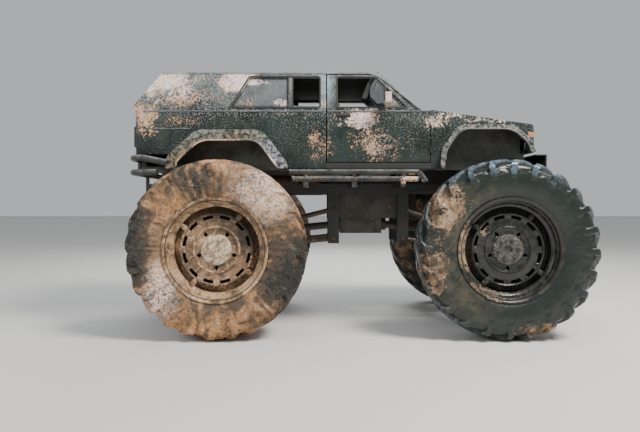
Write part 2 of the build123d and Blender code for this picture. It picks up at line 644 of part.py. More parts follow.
with BuildPart() as windscreen:
    add(UPPER_INNER)
    side_cut(slope_band(screen_x, SCREEN_GLASS_IN, SCREEN_GLASS_IN + GLASS_T, HOOD_BACK_Z, ROOF_EDGE_Z))
    add(cab_roof.part, mode=Mode.SUBTRACT)

with BuildPart() as quarter_panes:
    add(upper_body(GLASS_IN, ROOF_T))
    add(upper_body(GLASS_IN + GLASS_T, ROOF_T), mode=Mode.SUBTRACT)
    side_cut(REAR_QUARTER_WINDOW)

with BuildPart() as back_pane:
    side_cut(slope_band(slant_x, GLASS_IN, GLASS_IN + GLASS_T, REAR_GLASS_LOW_Z, REAR_GLASS_TOP_Z),
             mode=Mode.ADD)
    block(-FAR, FAR, -REAR_GLASS_HALF, REAR_GLASS_HALF, 0, FAR, mode=Mode.INTERSECT)

with BuildPart() as fixed_glass:
    add(windscreen.part)
    add(quarter_panes.part)
    add(back_pane.part)
fixed_glass.part.label = "fixed_glass"
export_step(fixed_glass.part, "parts/fixed_glass.step")

# Vent panes: the small fixed panes ahead of the door windows
with BuildPart() as vent_glass_right:
    add(upper_body(GLASS_IN, ROOF_T))
    add(upper_body(GLASS_IN + GLASS_T, ROOF_T), mode=Mode.SUBTRACT)
    right_side(0)
    side_cut(VENT_WINDOW)
vent_glass_right.part.label = "vent_glass_right"
export_step(vent_glass_right.part, "parts/vent_glass_right.step")

with BuildPart() as vent_glass_left:
    mirror(vent_glass_right.part, about=Plane.XZ)
vent_glass_left.part.label = "vent_glass_left"
export_step(vent_glass_left.part, "parts/vent_glass_left.step")

# Door mirrors on short arms
MIRROR_X = FRONT_X - 1170.0
MIRROR_Z = 2375.0
MIRROR_Y = 905.0
MIRROR_W = 150.0
MIRROR_H = 110.0
MIRROR_L = 60.0
MIRROR_ARM_R = 14.0
MIRROR_FOOT_Y = BELT_Y - 20.0
MIRROR_FOOT_Z = BELT_Z - 15.0

with BuildPart() as mirror_right:
    block(MIRROR_X, MIRROR_X + MIRROR_L, -MIRROR_Y - MIRROR_W / 2, -MIRROR_Y + MIRROR_W / 2,
          MIRROR_Z - MIRROR_H / 2, MIRROR_Z + MIRROR_H / 2)
    fillet(mirror_right.edges().filter_by(Axis.X), MIRROR_L / 3)
    rod((MIRROR_X + MIRROR_L / 2, -MIRROR_Y, MIRROR_Z),
        (MIRROR_X + MIRROR_L / 2, -MIRROR_FOOT_Y, MIRROR_FOOT_Z), MIRROR_ARM_R)
    add(door_right.part, mode=Mode.SUBTRACT)
mirror_right.part.label = "mirror_right"
export_step(mirror_right.part, "parts/mirror_right.step")

with BuildPart() as mirror_left:
    mirror(mirror_right.part, about=Plane.XZ)
mirror_left.part.label = "mirror_left"
export_step(mirror_left.part, "parts/mirror_left.step")

# Ladder frame: two box rails, cross members, body mounts, link brackets and spring towers
CROSS_X = [REAR_X - 770, REAR_X - 260, REAR_X + 1050, FRONT_X + 340]
MOUNT_X = [REAR_X - 600, REAR_X + 60, REAR_X + 760, REAR_X + 1400, REAR_X + 1900]
MOUNT_R = 38.0
RAIL_BACK_X = REAR_X - 880
RAIL_FRONT_X = FRONT_X + 420
REAR_BRACKET_X = REAR_X + 1150
FRONT_BRACKET_X = FRONT_X - 910
BRACKET_LOW_Z = 890.0
BRACKET_L = 120.0
PLATE_IN_Y = RAIL_Y - LINK_EYE_W / 2 - BRACKET_T
PLATE_OUT_Y = RAIL_Y + LINK_EYE_W / 2
LOW_LINK_Z = 940.0
HIGH_LINK_Z = 1260.0
TOWER_RIM = 20.0
TOWER_Y = SHOCK_Y + SHOCK_R + TOWER_RIM
TOWER_T = 20.0
SHOCK_TOP_Z = RAIL_TOP_Z - TOWER_T
SPRING_SEAT_H = 30.0
SHOCK_LOW_Z = WHEEL_Z + TUBE_R + SPRING_SEAT_H
TOWER_L = 150.0
REAR_SHOCK_X = REAR_X
FRONT_SHOCK_X = FRONT_X
ENGINE_GAP = 16.0
ENGINE_L = 620.0
ENGINE_BACK_X = FIREWALL_X + SHEET + ENGINE_GAP
ENGINE_FRONT_X = ENGINE_BACK_X + ENGINE_L
ENGINE_Y = 230.0
ENGINE_LOW_Z = 1480.0
ENGINE_MOUNT_X = FRONT_X - 520


def mirrored_block(x0, x1, y0, y1, z0, z1, mode=Mode.ADD):
    """The same block on both sides, y given from the middle outwards."""
    block(x0, x1, y0, y1, z0, z1, mode=mode)
    block(x0, x1, -y1, -y0, z0, z1, mode=mode)


with BuildPart() as frame:
    mirrored_block(RAIL_BACK_X, RAIL_FRONT_X, RAIL_IN_Y, RAIL_OUT_Y, RAIL_Z, RAIL_TOP_Z)
    for x in CROSS_X:
        block(x - CROSS_L / 2, x + CROSS_L / 2, -RAIL_IN_Y, RAIL_IN_Y, RAIL_Z, RAIL_TOP_Z)
    for x in MOUNT_X:
        for side in SIDES:
            rod((x, side * RAIL_Y, RAIL_TOP_Z), (x, side * RAIL_Y, SILL_Z), MOUNT_R)
    for x in (REAR_BRACKET_X, FRONT_BRACKET_X):
        for y in (PLATE_IN_Y, PLATE_OUT_Y):
            mirrored_block(x - BRACKET_L / 2, x + BRACKET_L / 2, y, y + BRACKET_T, BRACKET_LOW_Z, RAIL_Z)
    for x in (REAR_SHOCK_X, FRONT_SHOCK_X):
        mirrored_block(x - TOWER_L / 2, x + TOWER_L / 2, RAIL_OUT_Y, TOWER_Y, SHOCK_TOP_Z, RAIL_TOP_Z)
    mirrored_block(ENGINE_MOUNT_X - CROSS_L / 2, ENGINE_MOUNT_X + CROSS_L / 2, ENGINE_Y, RAIL_IN_Y,
                   ENGINE_LOW_Z, ENGINE_LOW_Z + CROSS_L)
    mirrored_block(NOSE_BAR_X, NOSE_BAR_X + CROSS_L / 2, RAIL_IN_Y, RAIL_OUT_Y, RAIL_TOP_Z, SILL_Z)
frame.part.label = "frame"
export_step(frame.part, "parts/frame.step")

# Axles: a tube each with the gear housing in the middle and its pinion nose high on one side
TUBE_REAR_Y = 890.0
FLANGE_R = 130.0
FLANGE_T = 20.0
HUB_IN = 90.0
HUB_BORE_DEPTH = 180.0
HUB_NOSE = 120.0
HUB_R = 110.0
HUB_END_GAP = 5.0
SPINDLE_END_Y = WHEEL_Y - HUB_IN + HUB_BORE_DEPTH - HUB_END_GAP
FORK_WEB_Y = KINGPIN_Y - KNUCKLE_R - FORK_GAP * 2
FORK_LOW = KNUCKLE_H / 2 + FORK_GAP
LINK_LUG_X = 110.0
LOW_EYE_Z = WHEEL_Z - 40.0
HIGH_EYE_Z = WHEEL_Z + 125.0
SPRING_SEAT_L = 110.0
HOUSING_HALF_W = 117.0
NOSE_R = 97.5
YOKE_HALF_L = 76.0
YOKE_ARM_HALF_L = 57.0
YOKE_REACH = 40.0
KINGPIN_DEPTH = 40.0


def gear_housing(axle_x, nose_to):
    """The gear housing in the middle of an axle: a drum across it and a pinion nose along X."""
    rod((axle_x, -HOUSING_HALF_W, WHEEL_Z), (axle_x, HOUSING_HALF_W, WHEEL_Z), HOUSING_R)
    rod((axle_x, 0, PINION_Z), (axle_x + nose_to * PINION_REACH, 0, PINION_Z), NOSE_R)


def axle_lugs(axle_x, toward):
    """Spring seats above the tube and link lugs beside it, on both sides."""
    for side in SIDES:
        y = side * SHOCK_Y
        block(axle_x - SPRING_SEAT_L / 2, axle_x + SPRING_SEAT_L / 2, y - SPRING_SEAT_L / 2,
              y + SPRING_SEAT_L / 2, WHEEL_Z, SHOCK_LOW_Z)
        for y in (side * RAIL_Y - LINK_EYE_W / 2 - BRACKET_T, side * RAIL_Y + LINK_EYE_W / 2):
            low_x, high_x = sorted((axle_x, axle_x + toward * (LINK_LUG_X + LINK_EYE_R)))
            block(low_x, high_x, y, y + BRACKET_T, LOW_EYE_Z - LINK_EYE_R, HIGH_EYE_Z + LINK_EYE_R)


with BuildPart() as axle_rear:
    rod((REAR_X, -TUBE_REAR_Y, WHEEL_Z), (REAR_X, TUBE_REAR_Y, WHEEL_Z), TUBE_R)
    gear_housing(REAR_X, 1)
    axle_lugs(REAR_X, 1)
    for side in SIDES:
        rod((REAR_X, side * TUBE_REAR_Y, WHEEL_Z), (REAR_X, side * (TUBE_REAR_Y + FLANGE_T), WHEEL_Z),
            FLANGE_R)
        rod((REAR_X, side * TUBE_REAR_Y, WHEEL_Z), (REAR_X, side * SPINDLE_END_Y, WHEEL_Z), SPINDLE_R)
axle_rear.part.label = "axle_rear"
export_step(axle_rear.part, "parts/axle_rear.step")

with BuildPart() as axle_front:
    rod((FRONT_X, -FORK_WEB_Y, WHEEL_Z), (FRONT_X, FORK_WEB_Y, WHEEL_Z), TUBE_R)
    gear_housing(FRONT_X, -1)
    axle_lugs(FRONT_X, -1)
    for side in SIDES:
        low_y, high_y = sorted((side * (FORK_WEB_Y - FORK_T), side * FORK_WEB_Y))
        block(FRONT_X - YOKE_HALF_L, FRONT_X + YOKE_HALF_L, low_y, high_y,
              WHEEL_Z - FORK_LOW - FORK_T, WHEEL_Z + FORK_LOW + FORK_T)
        low_y, high_y = sorted((side * (FORK_WEB_Y - FORK_T), side * (KINGPIN_Y + YOKE_REACH)))
        for z in (WHEEL_Z - FORK_LOW - FORK_T, WHEEL_Z + FORK_LOW):
            block(FRONT_X - YOKE_ARM_HALF_L, FRONT_X + YOKE_ARM_HALF_L, low_y, high_y, z, z + FORK_T)
        for up in SIDES:
            rod((FRONT_X, side * KINGPIN_Y, WHEEL_Z + up * (FORK_LOW + FORK_T)),
                (FRONT_X, side * KINGPIN_Y, WHEEL_Z + up * (KNUCKLE_H / 2 - KINGPIN_DEPTH)), KINGPIN_R)
axle_front.part.label = "axle_front"
export_step(axle_front.part, "parts/axle_front.step")

# Steering knuckles: each turns on its king pins and carries a spindle, a flange and a steering arm
ARM_T = 36.0
ARM_W = 60.0
TIE_PIN_R = 14.0
TIE_EYE_H = 56.0
KNUCKLE_FLANGE_Y = 886.0
KINGPIN_END_GAP = 1.0

with BuildPart() as knuckle_right:
    rod((FRONT_X, -KINGPIN_Y, WHEEL_Z - KNUCKLE_H / 2), (FRONT_X, -KINGPIN_Y, WHEEL_Z + KNUCKLE_H / 2),
        KNUCKLE_R)
    rod((FRONT_X, -KINGPIN_Y, WHEEL_Z), (FRONT_X, -KNUCKLE_FLANGE_Y, WHEEL_Z), TUBE_R)
    rod((FRONT_X, -KNUCKLE_FLANGE_Y, WHEEL_Z), (FRONT_X, -KNUCKLE_FLANGE_Y - FLANGE_T, WHEEL_Z), FLANGE_R)
    rod((FRONT_X, -KINGPIN_Y, WHEEL_Z), (FRONT_X, -SPINDLE_END_Y, WHEEL_Z), SPINDLE_R)
    block(FRONT_X, FRONT_X + STEER_ARM + ARM_W / 2, -KINGPIN_Y - ARM_W / 2, -KINGPIN_Y + ARM_W / 2,
          WHEEL_Z - ARM_T / 2, WHEEL_Z + ARM_T / 2)
    for up in SIDES:
        rod((FRONT_X, -KINGPIN_Y, WHEEL_Z + up * KNUCKLE_H),
            (FRONT_X, -KINGPIN_Y, WHEEL_Z + up * (KNUCKLE_H / 2 - KINGPIN_DEPTH - KINGPIN_END_GAP)),
            KINGPIN_R + RUNNING_FIT, mode=Mode.SUBTRACT)
    rod((FRONT_X + STEER_ARM, -KINGPIN_Y, WHEEL_Z + ARM_T / 2),
        (FRONT_X + STEER_ARM, -KINGPIN_Y, WHEEL_Z + ARM_T / 2 + FORK_GAP + TIE_EYE_H), TIE_PIN_R)
knuckle_right.part.label = "knuckle_right"
export_step(knuckle_right.part, "parts/knuckle_right.step")

with BuildPart() as knuckle_left:
    mirror(knuckle_right.part, about=Plane.XZ)
knuckle_left.part.label = "knuckle_left"
export_step(knuckle_left.part, "parts/knuckle_left.step")

# Tie rod ahead of the axle, its eyes over the pins of the steering arms
TIE_X = FRONT_X + STEER_ARM
TIE_Y = KINGPIN_Y
TIE_Z = WHEEL_Z + ARM_T / 2 + FORK_GAP + TIE_EYE_H / 2
TIE_EYE_R = 30.0

with BuildPart() as tie_rod:
    rod((TIE_X, -TIE_Y, TIE_Z), (TIE_X, TIE_Y, TIE_Z), TIE_ROD_R)
    for side in SIDES:
        rod((TIE_X, side * TIE_Y, TIE_Z - TIE_EYE_H / 2), (TIE_X, side * TIE_Y, TIE_Z + TIE_EYE_H / 2),
            TIE_EYE_R)
    for side in SIDES:
        rod((TIE_X, side * TIE_Y, TIE_Z - TIE_EYE_H), (TIE_X, side * TIE_Y, TIE_Z + TIE_EYE_H),
            TIE_PIN_R + RUNNING_FIT, mode=Mode.SUBTRACT)
tie_rod.part.label = "tie_rod"
export_step(tie_rod.part, "parts/tie_rod.step")

# Suspension links: a low and a high bar on each side of each axle, in clevises at both ends
LINK_ROWS = [
    (REAR_X + LINK_LUG_X, LOW_EYE_Z, REAR_BRACKET_X, LOW_LINK_Z),
    (REAR_X + LINK_LUG_X, HIGH_EYE_Z, REAR_BRACKET_X, HIGH_LINK_Z),
    (FRONT_X - LINK_LUG_X, LOW_EYE_Z, FRONT_BRACKET_X, LOW_LINK_Z),
    (FRONT_X - LINK_LUG_X, HIGH_EYE_Z, FRONT_BRACKET_X, HIGH_LINK_Z),
]

with BuildPart() as links:
    for eye_x, eye_z, bracket_x, bracket_z in LINK_ROWS:
        for side in SIDES:
            y = side * RAIL_Y
            rod((eye_x, y, eye_z), (bracket_x, y, bracket_z), LINK_R)
            for x, z in ((eye_x, eye_z), (bracket_x, bracket_z)):
                rod((x, y - LINK_EYE_W / 2, z), (x, y + LINK_EYE_W / 2, z), LINK_EYE_R)
links.part.label = "links"
export_step(links.part, "parts/links.step")

# Coil-over shocks between the spring seats and the towers
with BuildPart() as shocks:
    for x in (REAR_SHOCK_X, FRONT_SHOCK_X):
        for side in SIDES:
            rod((x, side * SHOCK_Y, SHOCK_LOW_Z), (x, side * SHOCK_Y, SHOCK_TOP_Z), SHOCK_R)
shocks.part.label = "shocks"
export_step(shocks.part, "parts/shocks.step")

# Engine: one plain block with its place between the rails
ENGINE_TOP_Z = 2040.0
ENGINE_EDGE = 60.0

with BuildPart() as engine:
    block(ENGINE_BACK_X, ENGINE_FRONT_X, -ENGINE_Y, ENGINE_Y, ENGINE_LOW_Z, ENGINE_TOP_Z)
    chamfer(engine.edges().filter_by(Axis.X), ENGINE_EDGE)
engine.part.label = "engine"
export_step(engine.part, "parts/engine.step")

# Gearbox and transfer case behind the engine
GEARBOX_BACK_X = FRONT_X - 1740
GEARBOX_Y = 165.0
GEARBOX_TOP_Z = ENGINE_LOW_Z + 140.0
TRANSFER_BACK_X = FRONT_X - 1590
TRANSFER_FRONT_X = FRONT_X - 1120
TRANSFER_Y = 135.0
TRANSFER_LOW_Z = 990.0
TRANSFER_Z = 1160.0
SHAFT_END_Z = 1090.0
SHAFT_R = 42.0

with BuildPart() as gearbox:
    block(GEARBOX_BACK_X, ENGINE_BACK_X, -GEARBOX_Y, GEARBOX_Y, TRANSFER_Z, GEARBOX_TOP_Z)
    block(TRANSFER_BACK_X, TRANSFER_FRONT_X, -TRANSFER_Y, TRANSFER_Y, TRANSFER_LOW_Z, TRANSFER_Z)
gearbox.part.label = "gearbox"
export_step(gearbox.part, "parts/gearbox.step")

# Drive shafts from the transfer case to the two pinion noses, with a joint at each end
JOINT_R = 70.0
JOINT_L = 60.0
SHAFT_ROWS = [(TRANSFER_BACK_X, REAR_X + PINION_REACH, -1), (TRANSFER_FRONT_X, FRONT_X - PINION_REACH, 1)]

with BuildPart() as driveshafts:
    for case_x, pinion_x, toward in SHAFT_ROWS:
        rod((case_x, 0, SHAFT_END_Z), (case_x + toward * JOINT_L, 0, SHAFT_END_Z), JOINT_R)
        rod((pinion_x - toward * JOINT_L, 0, PINION_Z), (pinion_x, 0, PINION_Z), JOINT_R)
        rod((case_x + toward * JOINT_L / 2, 0, SHAFT_END_Z), (pinion_x - toward * JOINT_L / 2, 0, PINION_Z),
            SHAFT_R)
driveshafts.part.label = "driveshafts"
export_step(driveshafts.part, "parts/driveshafts.step")

# Radiator behind the grille
RADIATOR_T = 62.0
RADIATOR_HALF = 330.0
RADIATOR_LOW_Z = 1775.0
RADIATOR_TOP_Z = 2040.0

with BuildPart() as radiator:
    block(NOSE_BAR_X - RADIATOR_T, NOSE_BAR_X, -RADIATOR_HALF, RADIATOR_HALF, RADIATOR_LOW_Z, RADIATOR_TOP_Z)
radiator.part.label = "radiator"
export_step(radiator.part, "parts/radiator.step")

# Fuel tank between the two rear cross members
TANK_RIGHT_Y = -RAIL_IN_Y + 10
TANK_LEFT_Y = 150.0
TANK_LOW_Z = RAIL_Z - 30
TANK_TOP_Z = RAIL_TOP_Z + 90
TANK_CORNER_R = 30.0

with BuildPart() as fuel_tank:
    block(CROSS_X[0] + CROSS_L / 2, CROSS_X[1] - CROSS_L / 2, TANK_RIGHT_Y, TANK_LEFT_Y,
          TANK_LOW_Z, TANK_TOP_Z)
    fillet(fuel_tank.edges().filter_by(Axis.X), TANK_CORNER_R)
fuel_tank.part.label = "fuel_tank"
export_step(fuel_tank.part, "parts/fuel_tank.step")

# Exhaust: a straight pipe under the floor with one silencer and its hanger
EXHAUST_Y = 205.0
EXHAUST_Z = 1590.0
PIPE_R = 28.0
SILENCER_R = 75.0
SILENCER_BACK_X = REAR_X + 350
SILENCER_FRONT_X = REAR_X + 850
HANGER_X = REAR_X + 600
HANGER_HALF_W = 15.0

with BuildPart() as exhaust:
    rod((BODY_BACK_X + 10, EXHAUST_Y, EXHAUST_Z), (ENGINE_BACK_X, EXHAUST_Y, EXHAUST_Z), PIPE_R)
    rod((SILENCER_BACK_X, EXHAUST_Y, EXHAUST_Z), (SILENCER_FRONT_X, EXHAUST_Y, EXHAUST_Z), SILENCER_R)
    block(HANGER_X - SHEET / 2, HANGER_X + SHEET / 2, EXHAUST_Y - HANGER_HALF_W, EXHAUST_Y + HANGER_HALF_W,
          EXHAUST_Z, SILL_Z)
exhaust.part.label = "exhaust"
export_step(exhaust.part, "parts/exhaust.step")

# Front bumper: a channel on two brackets from the rail ends
BUMPER_FRONT_X = FRONT_X + 560.0
BUMPER_BACK_X = RAIL_FRONT_X
BUMPER_HALF = 640.0
BUMPER_LOW_Z = 1665.0
BUMPER_TOP_Z = 1840.0
TOW_EYE_X = FRONT_X + 500.0
TOW_EYE_Y = RAIL_IN_Y + 10
TOW_EYE_Z = BUMPER_LOW_Z - 35.0
TOW_EYE_T = 24.0
TOW_EYE_R = 14.0

with BuildPart() as bumper_front:
    block(BUMPER_BACK_X + 20, BUMPER_FRONT_X, -BUMPER_HALF, BUMPER_HALF, BUMPER_LOW_Z, BUMPER_TOP_Z)
    block(BUMPER_BACK_X, BUMPER_FRONT_X - SHEET, -FAR, FAR, BUMPER_LOW_Z + SHEET, BUMPER_TOP_Z - SHEET,
          mode=Mode.SUBTRACT)
    mirrored_block(RAIL_FRONT_X, BUMPER_FRONT_X, TOW_EYE_Y, TOW_EYE_Y + TOW_EYE_T, RAIL_Z, BUMPER_TOP_Z)
    rod((TOW_EYE_X, -RAIL_OUT_Y, TOW_EYE_Z), (TOW_EYE_X, RAIL_OUT_Y, TOW_EYE_Z), TOW_EYE_R,
        mode=Mode.SUBTRACT)
bumper_front.part.label = "bumper_front"
export_step(bumper_front.part, "parts/bumper_front.step")

# Rear bumper: two tubes bent round the back corners, joined by posts on the rail ends
BAR_R = 32.0
BAR_BACK_X = -LENGTH / 2 + BAR_R
BAR_Y = 880.0
BAR_ROWS = [(1785.0, REAR_X - 540.0, 1735.0), (1640.0, REAR_X - 640.0, 1640.0)]
BAR_BEND_R = 130.0
POST_Y = 560.0
POST_R = 25.6
BAR_PLATE_HALF = 20.0
TOW_PLATE_T = 24.0
TOW_PLATE_HALF = 70.0
TOW_PIN_Z = 1712.0
TOW_PIN_R = 12.5


with BuildPart() as bumper_rear:
    for z, leg_x, leg_z in BAR_ROWS:
        rod((BAR_BACK_X, -BAR_Y + BAR_BEND_R, z), (BAR_BACK_X, BAR_Y - BAR_BEND_R, z), BAR_R)
        for side in SIDES:
            corner = (BAR_BACK_X + BAR_BEND_R, side * BAR_Y, z)
            with BuildSketch(Plane(origin=corner, z_dir=(1, 0, 0))) as bend_section:
                Circle(BAR_R)
            bend = Axis((BAR_BACK_X + BAR_BEND_R, side * (BAR_Y - BAR_BEND_R), z), (0, 0, side))
            revolve(bend_section.sketch, axis=bend, revolution_arc=90)
            rod(corner, (leg_x, side * BAR_Y, leg_z), BAR_R)
    for y in (-POST_Y, POST_Y, -RAIL_Y, RAIL_Y):
        rod((BAR_BACK_X, y, BAR_ROWS[1][0]), (BAR_BACK_X, y, BAR_ROWS[0][0]), POST_R)
    mirrored_block(BAR_BACK_X, RAIL_BACK_X, RAIL_Y - BAR_PLATE_HALF, RAIL_Y + BAR_PLATE_HALF,
                   RAIL_Z, BAR_ROWS[0][0])
    block(BAR_BACK_X - TOW_PLATE_T / 2, BAR_BACK_X + TOW_PLATE_T / 2, -TOW_PLATE_HALF, TOW_PLATE_HALF,
          BAR_ROWS[1][0], BAR_ROWS[0][0])
    rod((BAR_BACK_X - BAR_R, 0, TOW_PIN_Z), (BAR_BACK_X + BAR_R, 0, TOW_PIN_Z), TOW_PIN_R, mode=Mode.SUBTRACT)
bumper_rear.part.label = "bumper_rear"
export_step(bumper_rear.part, "parts/bumper_rear.step")

# Step bars: two tubes under each door, one over the other, on arms from the frame rail
STEP_Y = 868.0
STEP_R = 27.0
STEP_TOP_Z = 1642.0
STEP_LOW_Z = 1572.0
STEP_BACK_X = REAR_X + 690.0
STEP_FRONT_X = REAR_X + 2000.0
STEP_END = 70.0
STEP_ARM_X = [REAR_X + 860, REAR_X + 1350, REAR_X + 1840]
STEP_ARM_H = 50.0
STEP_POST_R = 21.6
STEP_STAGGER = 30.0

with BuildPart() as step_bars:
    for side in SIDES:
        y = side * STEP_Y
        rod((STEP_BACK_X, y, STEP_TOP_Z), (STEP_FRONT_X, y, STEP_TOP_Z), STEP_R)
        rod((STEP_FRONT_X, y, STEP_TOP_Z), (STEP_FRONT_X + STEP_END, y, STEP_LOW_Z - STEP_R), STEP_R)
        rod((STEP_BACK_X + STEP_STAGGER, y, STEP_LOW_Z), (STEP_FRONT_X, y, STEP_LOW_Z), STEP_R)
        for x in STEP_ARM_X:
            rod((x, y, STEP_LOW_Z), (x, y, STEP_TOP_Z), STEP_POST_R)
            low_y, high_y = sorted((side * RAIL_OUT_Y, y))
            block(x - STEP_ARM_H / 2, x + STEP_ARM_H / 2, low_y, high_y,
                  RAIL_TOP_Z - STEP_ARM_H, RAIL_TOP_Z)
            low_y, high_y = sorted((y, y + side * SHEET))
            block(x - STEP_ARM_H / 2, x + STEP_ARM_H / 2, low_y, high_y,
                  RAIL_TOP_Z - STEP_ARM_H, STEP_LOW_Z)
step_bars.part.label = "step_bars"
export_step(step_bars.part, "parts/step_bars.step")

# Seats: two buckets in front and a bench behind, each a cushion and a back
SEAT_BASE_Z = 1880.0
SEAT_CUSHION = 130.0
SEAT_BACK_T = 130.0
SEAT_LEAN = 110.0
SEAT_BASE_IN = 60.0
DRIVER_Y = 370.0
SEAT_ROWS = [
    # back, depth, middle across, width, top
    (DOOR_BACK_X + 95, 500, DRIVER_Y, 520, 2440),
    (DOOR_BACK_X + 95, 500, -DRIVER_Y, 520, 2440),
    (REAR_X + 340, 480, 0, 960, 2360),
]

with BuildPart() as seats:
    for back_x, depth, y, width, top_z in SEAT_ROWS:
        block(back_x, back_x + depth, y - width / 2, y + width / 2, SEAT_BASE_Z, SEAT_BASE_Z + SEAT_CUSHION)
        profile = [(back_x, SEAT_BASE_Z), (back_x - SEAT_LEAN, top_z),
                   (back_x - SEAT_LEAN + SEAT_BACK_T, top_z), (back_x + SEAT_BACK_T, SEAT_BASE_Z)]
        extrude(outline(Plane.XZ.offset(-y - width / 2), profile), amount=width)
        block(back_x + SEAT_BASE_IN, back_x + depth - SEAT_BASE_IN, y - width / 2 + SEAT_BASE_IN,
              y + width / 2 - SEAT_BASE_IN, FLOOR_TOP_Z, SEAT_BASE_Z)
seats.part.label = "seats"
export_step(seats.part, "parts/seats.step")

# Dashboard across the cab, seated on the firewall
DASH_BACK_X = FRONT_X - 960.0
DASH_LIP = 60.0
DASH_UNDERCUT = 50.0
DASH_Y = 735.0
DASH_LOW_Z = 2030.0
DASH_TOP_Z = 2250.0

with BuildPart() as dashboard:
    profile = [(FIREWALL_X, DASH_LOW_Z), (FIREWALL_X, DASH_TOP_Z), (DASH_BACK_X + DASH_LIP, DASH_TOP_Z),
               (DASH_BACK_X, DASH_TOP_Z - DASH_LIP), (DASH_BACK_X + DASH_UNDERCUT, DASH_LOW_Z)]
    extrude(outline(Plane.XZ, profile), amount=DASH_Y, both=True)
dashboard.part.label = "dashboard"
export_step(dashboard.part, "parts/dashboard.step")

# Steering wheel and column
WHEEL_RIM_R = 190.0
WHEEL_GRIP_R = 15.0
HELM_TILT = 25.0
HELM = (FRONT_X - 1075.0, DRIVER_Y, 2215.0)
HELM_AXIS = (cos(radians(HELM_TILT)), 0, -sin(radians(HELM_TILT)))
SPOKES = 3
SPOKE_W = 34.0
SPOKE_T = 16.0
COLUMN_L = 200.0
COLUMN_R = 26.0

with BuildPart() as steering_wheel:
    helm_plane = Plane(origin=HELM, x_dir=(0, 1, 0), z_dir=HELM_AXIS)
    grip_middle = helm_plane.from_local_coords((WHEEL_RIM_R, 0, 0))
    with BuildSketch(Plane(origin=grip_middle, z_dir=helm_plane.y_dir)) as grip:
        Circle(WHEEL_GRIP_R)
    revolve(grip.sketch, axis=Axis(HELM, HELM_AXIS))
    with BuildSketch(helm_plane) as spokes:
        with PolarLocations(0, SPOKES, start_angle=90):
            with Locations((WHEEL_RIM_R / 2, 0)):
                Rectangle(WHEEL_RIM_R, SPOKE_W)
    extrude(spokes.sketch, amount=SPOKE_T / 2, both=True)
    rod(HELM, tuple(helm_plane.from_local_coords((0, 0, COLUMN_L))), COLUMN_R)
    add(dashboard.part, mode=Mode.SUBTRACT)
steering_wheel.part.label = "steering_wheel"
export_step(steering_wheel.part, "parts/steering_wheel.step")

# Wheels: a deep steel rim with its disc and hub, and an agricultural tyre, at all four corners
WHEEL_PLACES = [("rear_right", REAR_X, -1), ("rear_left", REAR_X, 1),
                ("front_right", FRONT_X, -1), ("front_left", FRONT_X, 1)]
RIM_H = RIM_W / 2
WELL_R = 430.0
WELL_O = 95.0
RIM_T = 13.0
LIP_T = 13.0
DISC_O = 81.0
DISC_R = 352.0
DISC_ROOT_O = 20.0
SLOTS = 12
SLOT_R = 318.0
SLOT_L = 100.0
SLOT_W = 32.0
SEAT_FIT = 0.3

# Half section of the rim: (distance outwards from the wheel's middle plane, radius)
RIM_ROWS = [
    (HUB_NOSE, 0), (HUB_NOSE, HUB_R), (DISC_O + RIM_T, HUB_R), (DISC_O + RIM_T, DISC_R),
    (DISC_ROOT_O + RIM_T, WELL_R - RIM_T), (WELL_O + 8, WELL_R - RIM_T), (WELL_O + 32, BEAD_R - RIM_T),
    (RIM_H, BEAD_R - RIM_T), (RIM_H, RIM_R), (RIM_H - LIP_T, RIM_R), (RIM_H - LIP_T, BEAD_R),
    (WELL_O + 20, BEAD_R), (WELL_O, WELL_R), (-WELL_O, WELL_R), (-WELL_O - 20, BEAD_R),
    (-RIM_H + LIP_T, BEAD_R), (-RIM_H + LIP_T, RIM_R), (-RIM_H, RIM_R), (-RIM_H, BEAD_R - RIM_T),
    (-WELL_O - 32, BEAD_R - RIM_T), (-WELL_O - 8, WELL_R - RIM_T), (DISC_ROOT_O, WELL_R - RIM_T),
    (DISC_O, DISC_R), (DISC_O, HUB_R), (-HUB_IN, HUB_R), (-HUB_IN, SPINDLE_R + RUNNING_FIT),
    (HUB_BORE_DEPTH - HUB_IN, SPINDLE_R + RUNNING_FIT), (HUB_BORE_DEPTH - HUB_IN, 0),
]

# Tyre: one solid of flat facets, a carcass with tall bars on each half of its tread.
# A row is (distance outwards, radius), and a turn is an angle from the top in pitches of the bars.
LUGS = 24
LUG_H = 42.0
LUG_FOOT = 0.19
LUG_TOP = 0.13
LUG_SWEEP = 0.95
LUG_OVER = 15.0
LUG_SLOPE = 8.0
BEAD_O = RIM_H - LIP_T - SEAT_FIT
BEAD_W = 40.0
LIP_GAP = 4.0
TYRE_H = TYRE_W / 2
PITCH = 2 * pi / LUGS
FLAT_R = 1 / cos(PITCH / 2)
FLOOR_MIDDLE = (LUG_OVER, TYRE_R - LUG_H)
BAR_MIDDLE = (LUG_OVER - LUG_SLOPE, TYRE_R / cos(LUG_TOP * PITCH))
FLOOR_SHOULDER = (TYRE_H - 43.5, TYRE_R - 65.5)
BAR_SHOULDER = (TYRE_H - 20.5, TYRE_R - 27.5)
BAR_END = (TYRE_H - 7.5, TYRE_R - 142.5)
WALL_ROWS = [
    (TYRE_H, BEAD_R + 167.0),
    (BEAD_O, (RIM_R + LIP_GAP) * FLAT_R),
    (BEAD_O, (BEAD_R + SEAT_FIT) * FLAT_R),
    (BEAD_O - BEAD_W, (BEAD_R + SEAT_FIT) * FLAT_R),
    (TYRE_H - 45.0, TYRE_R - 137.5),
]


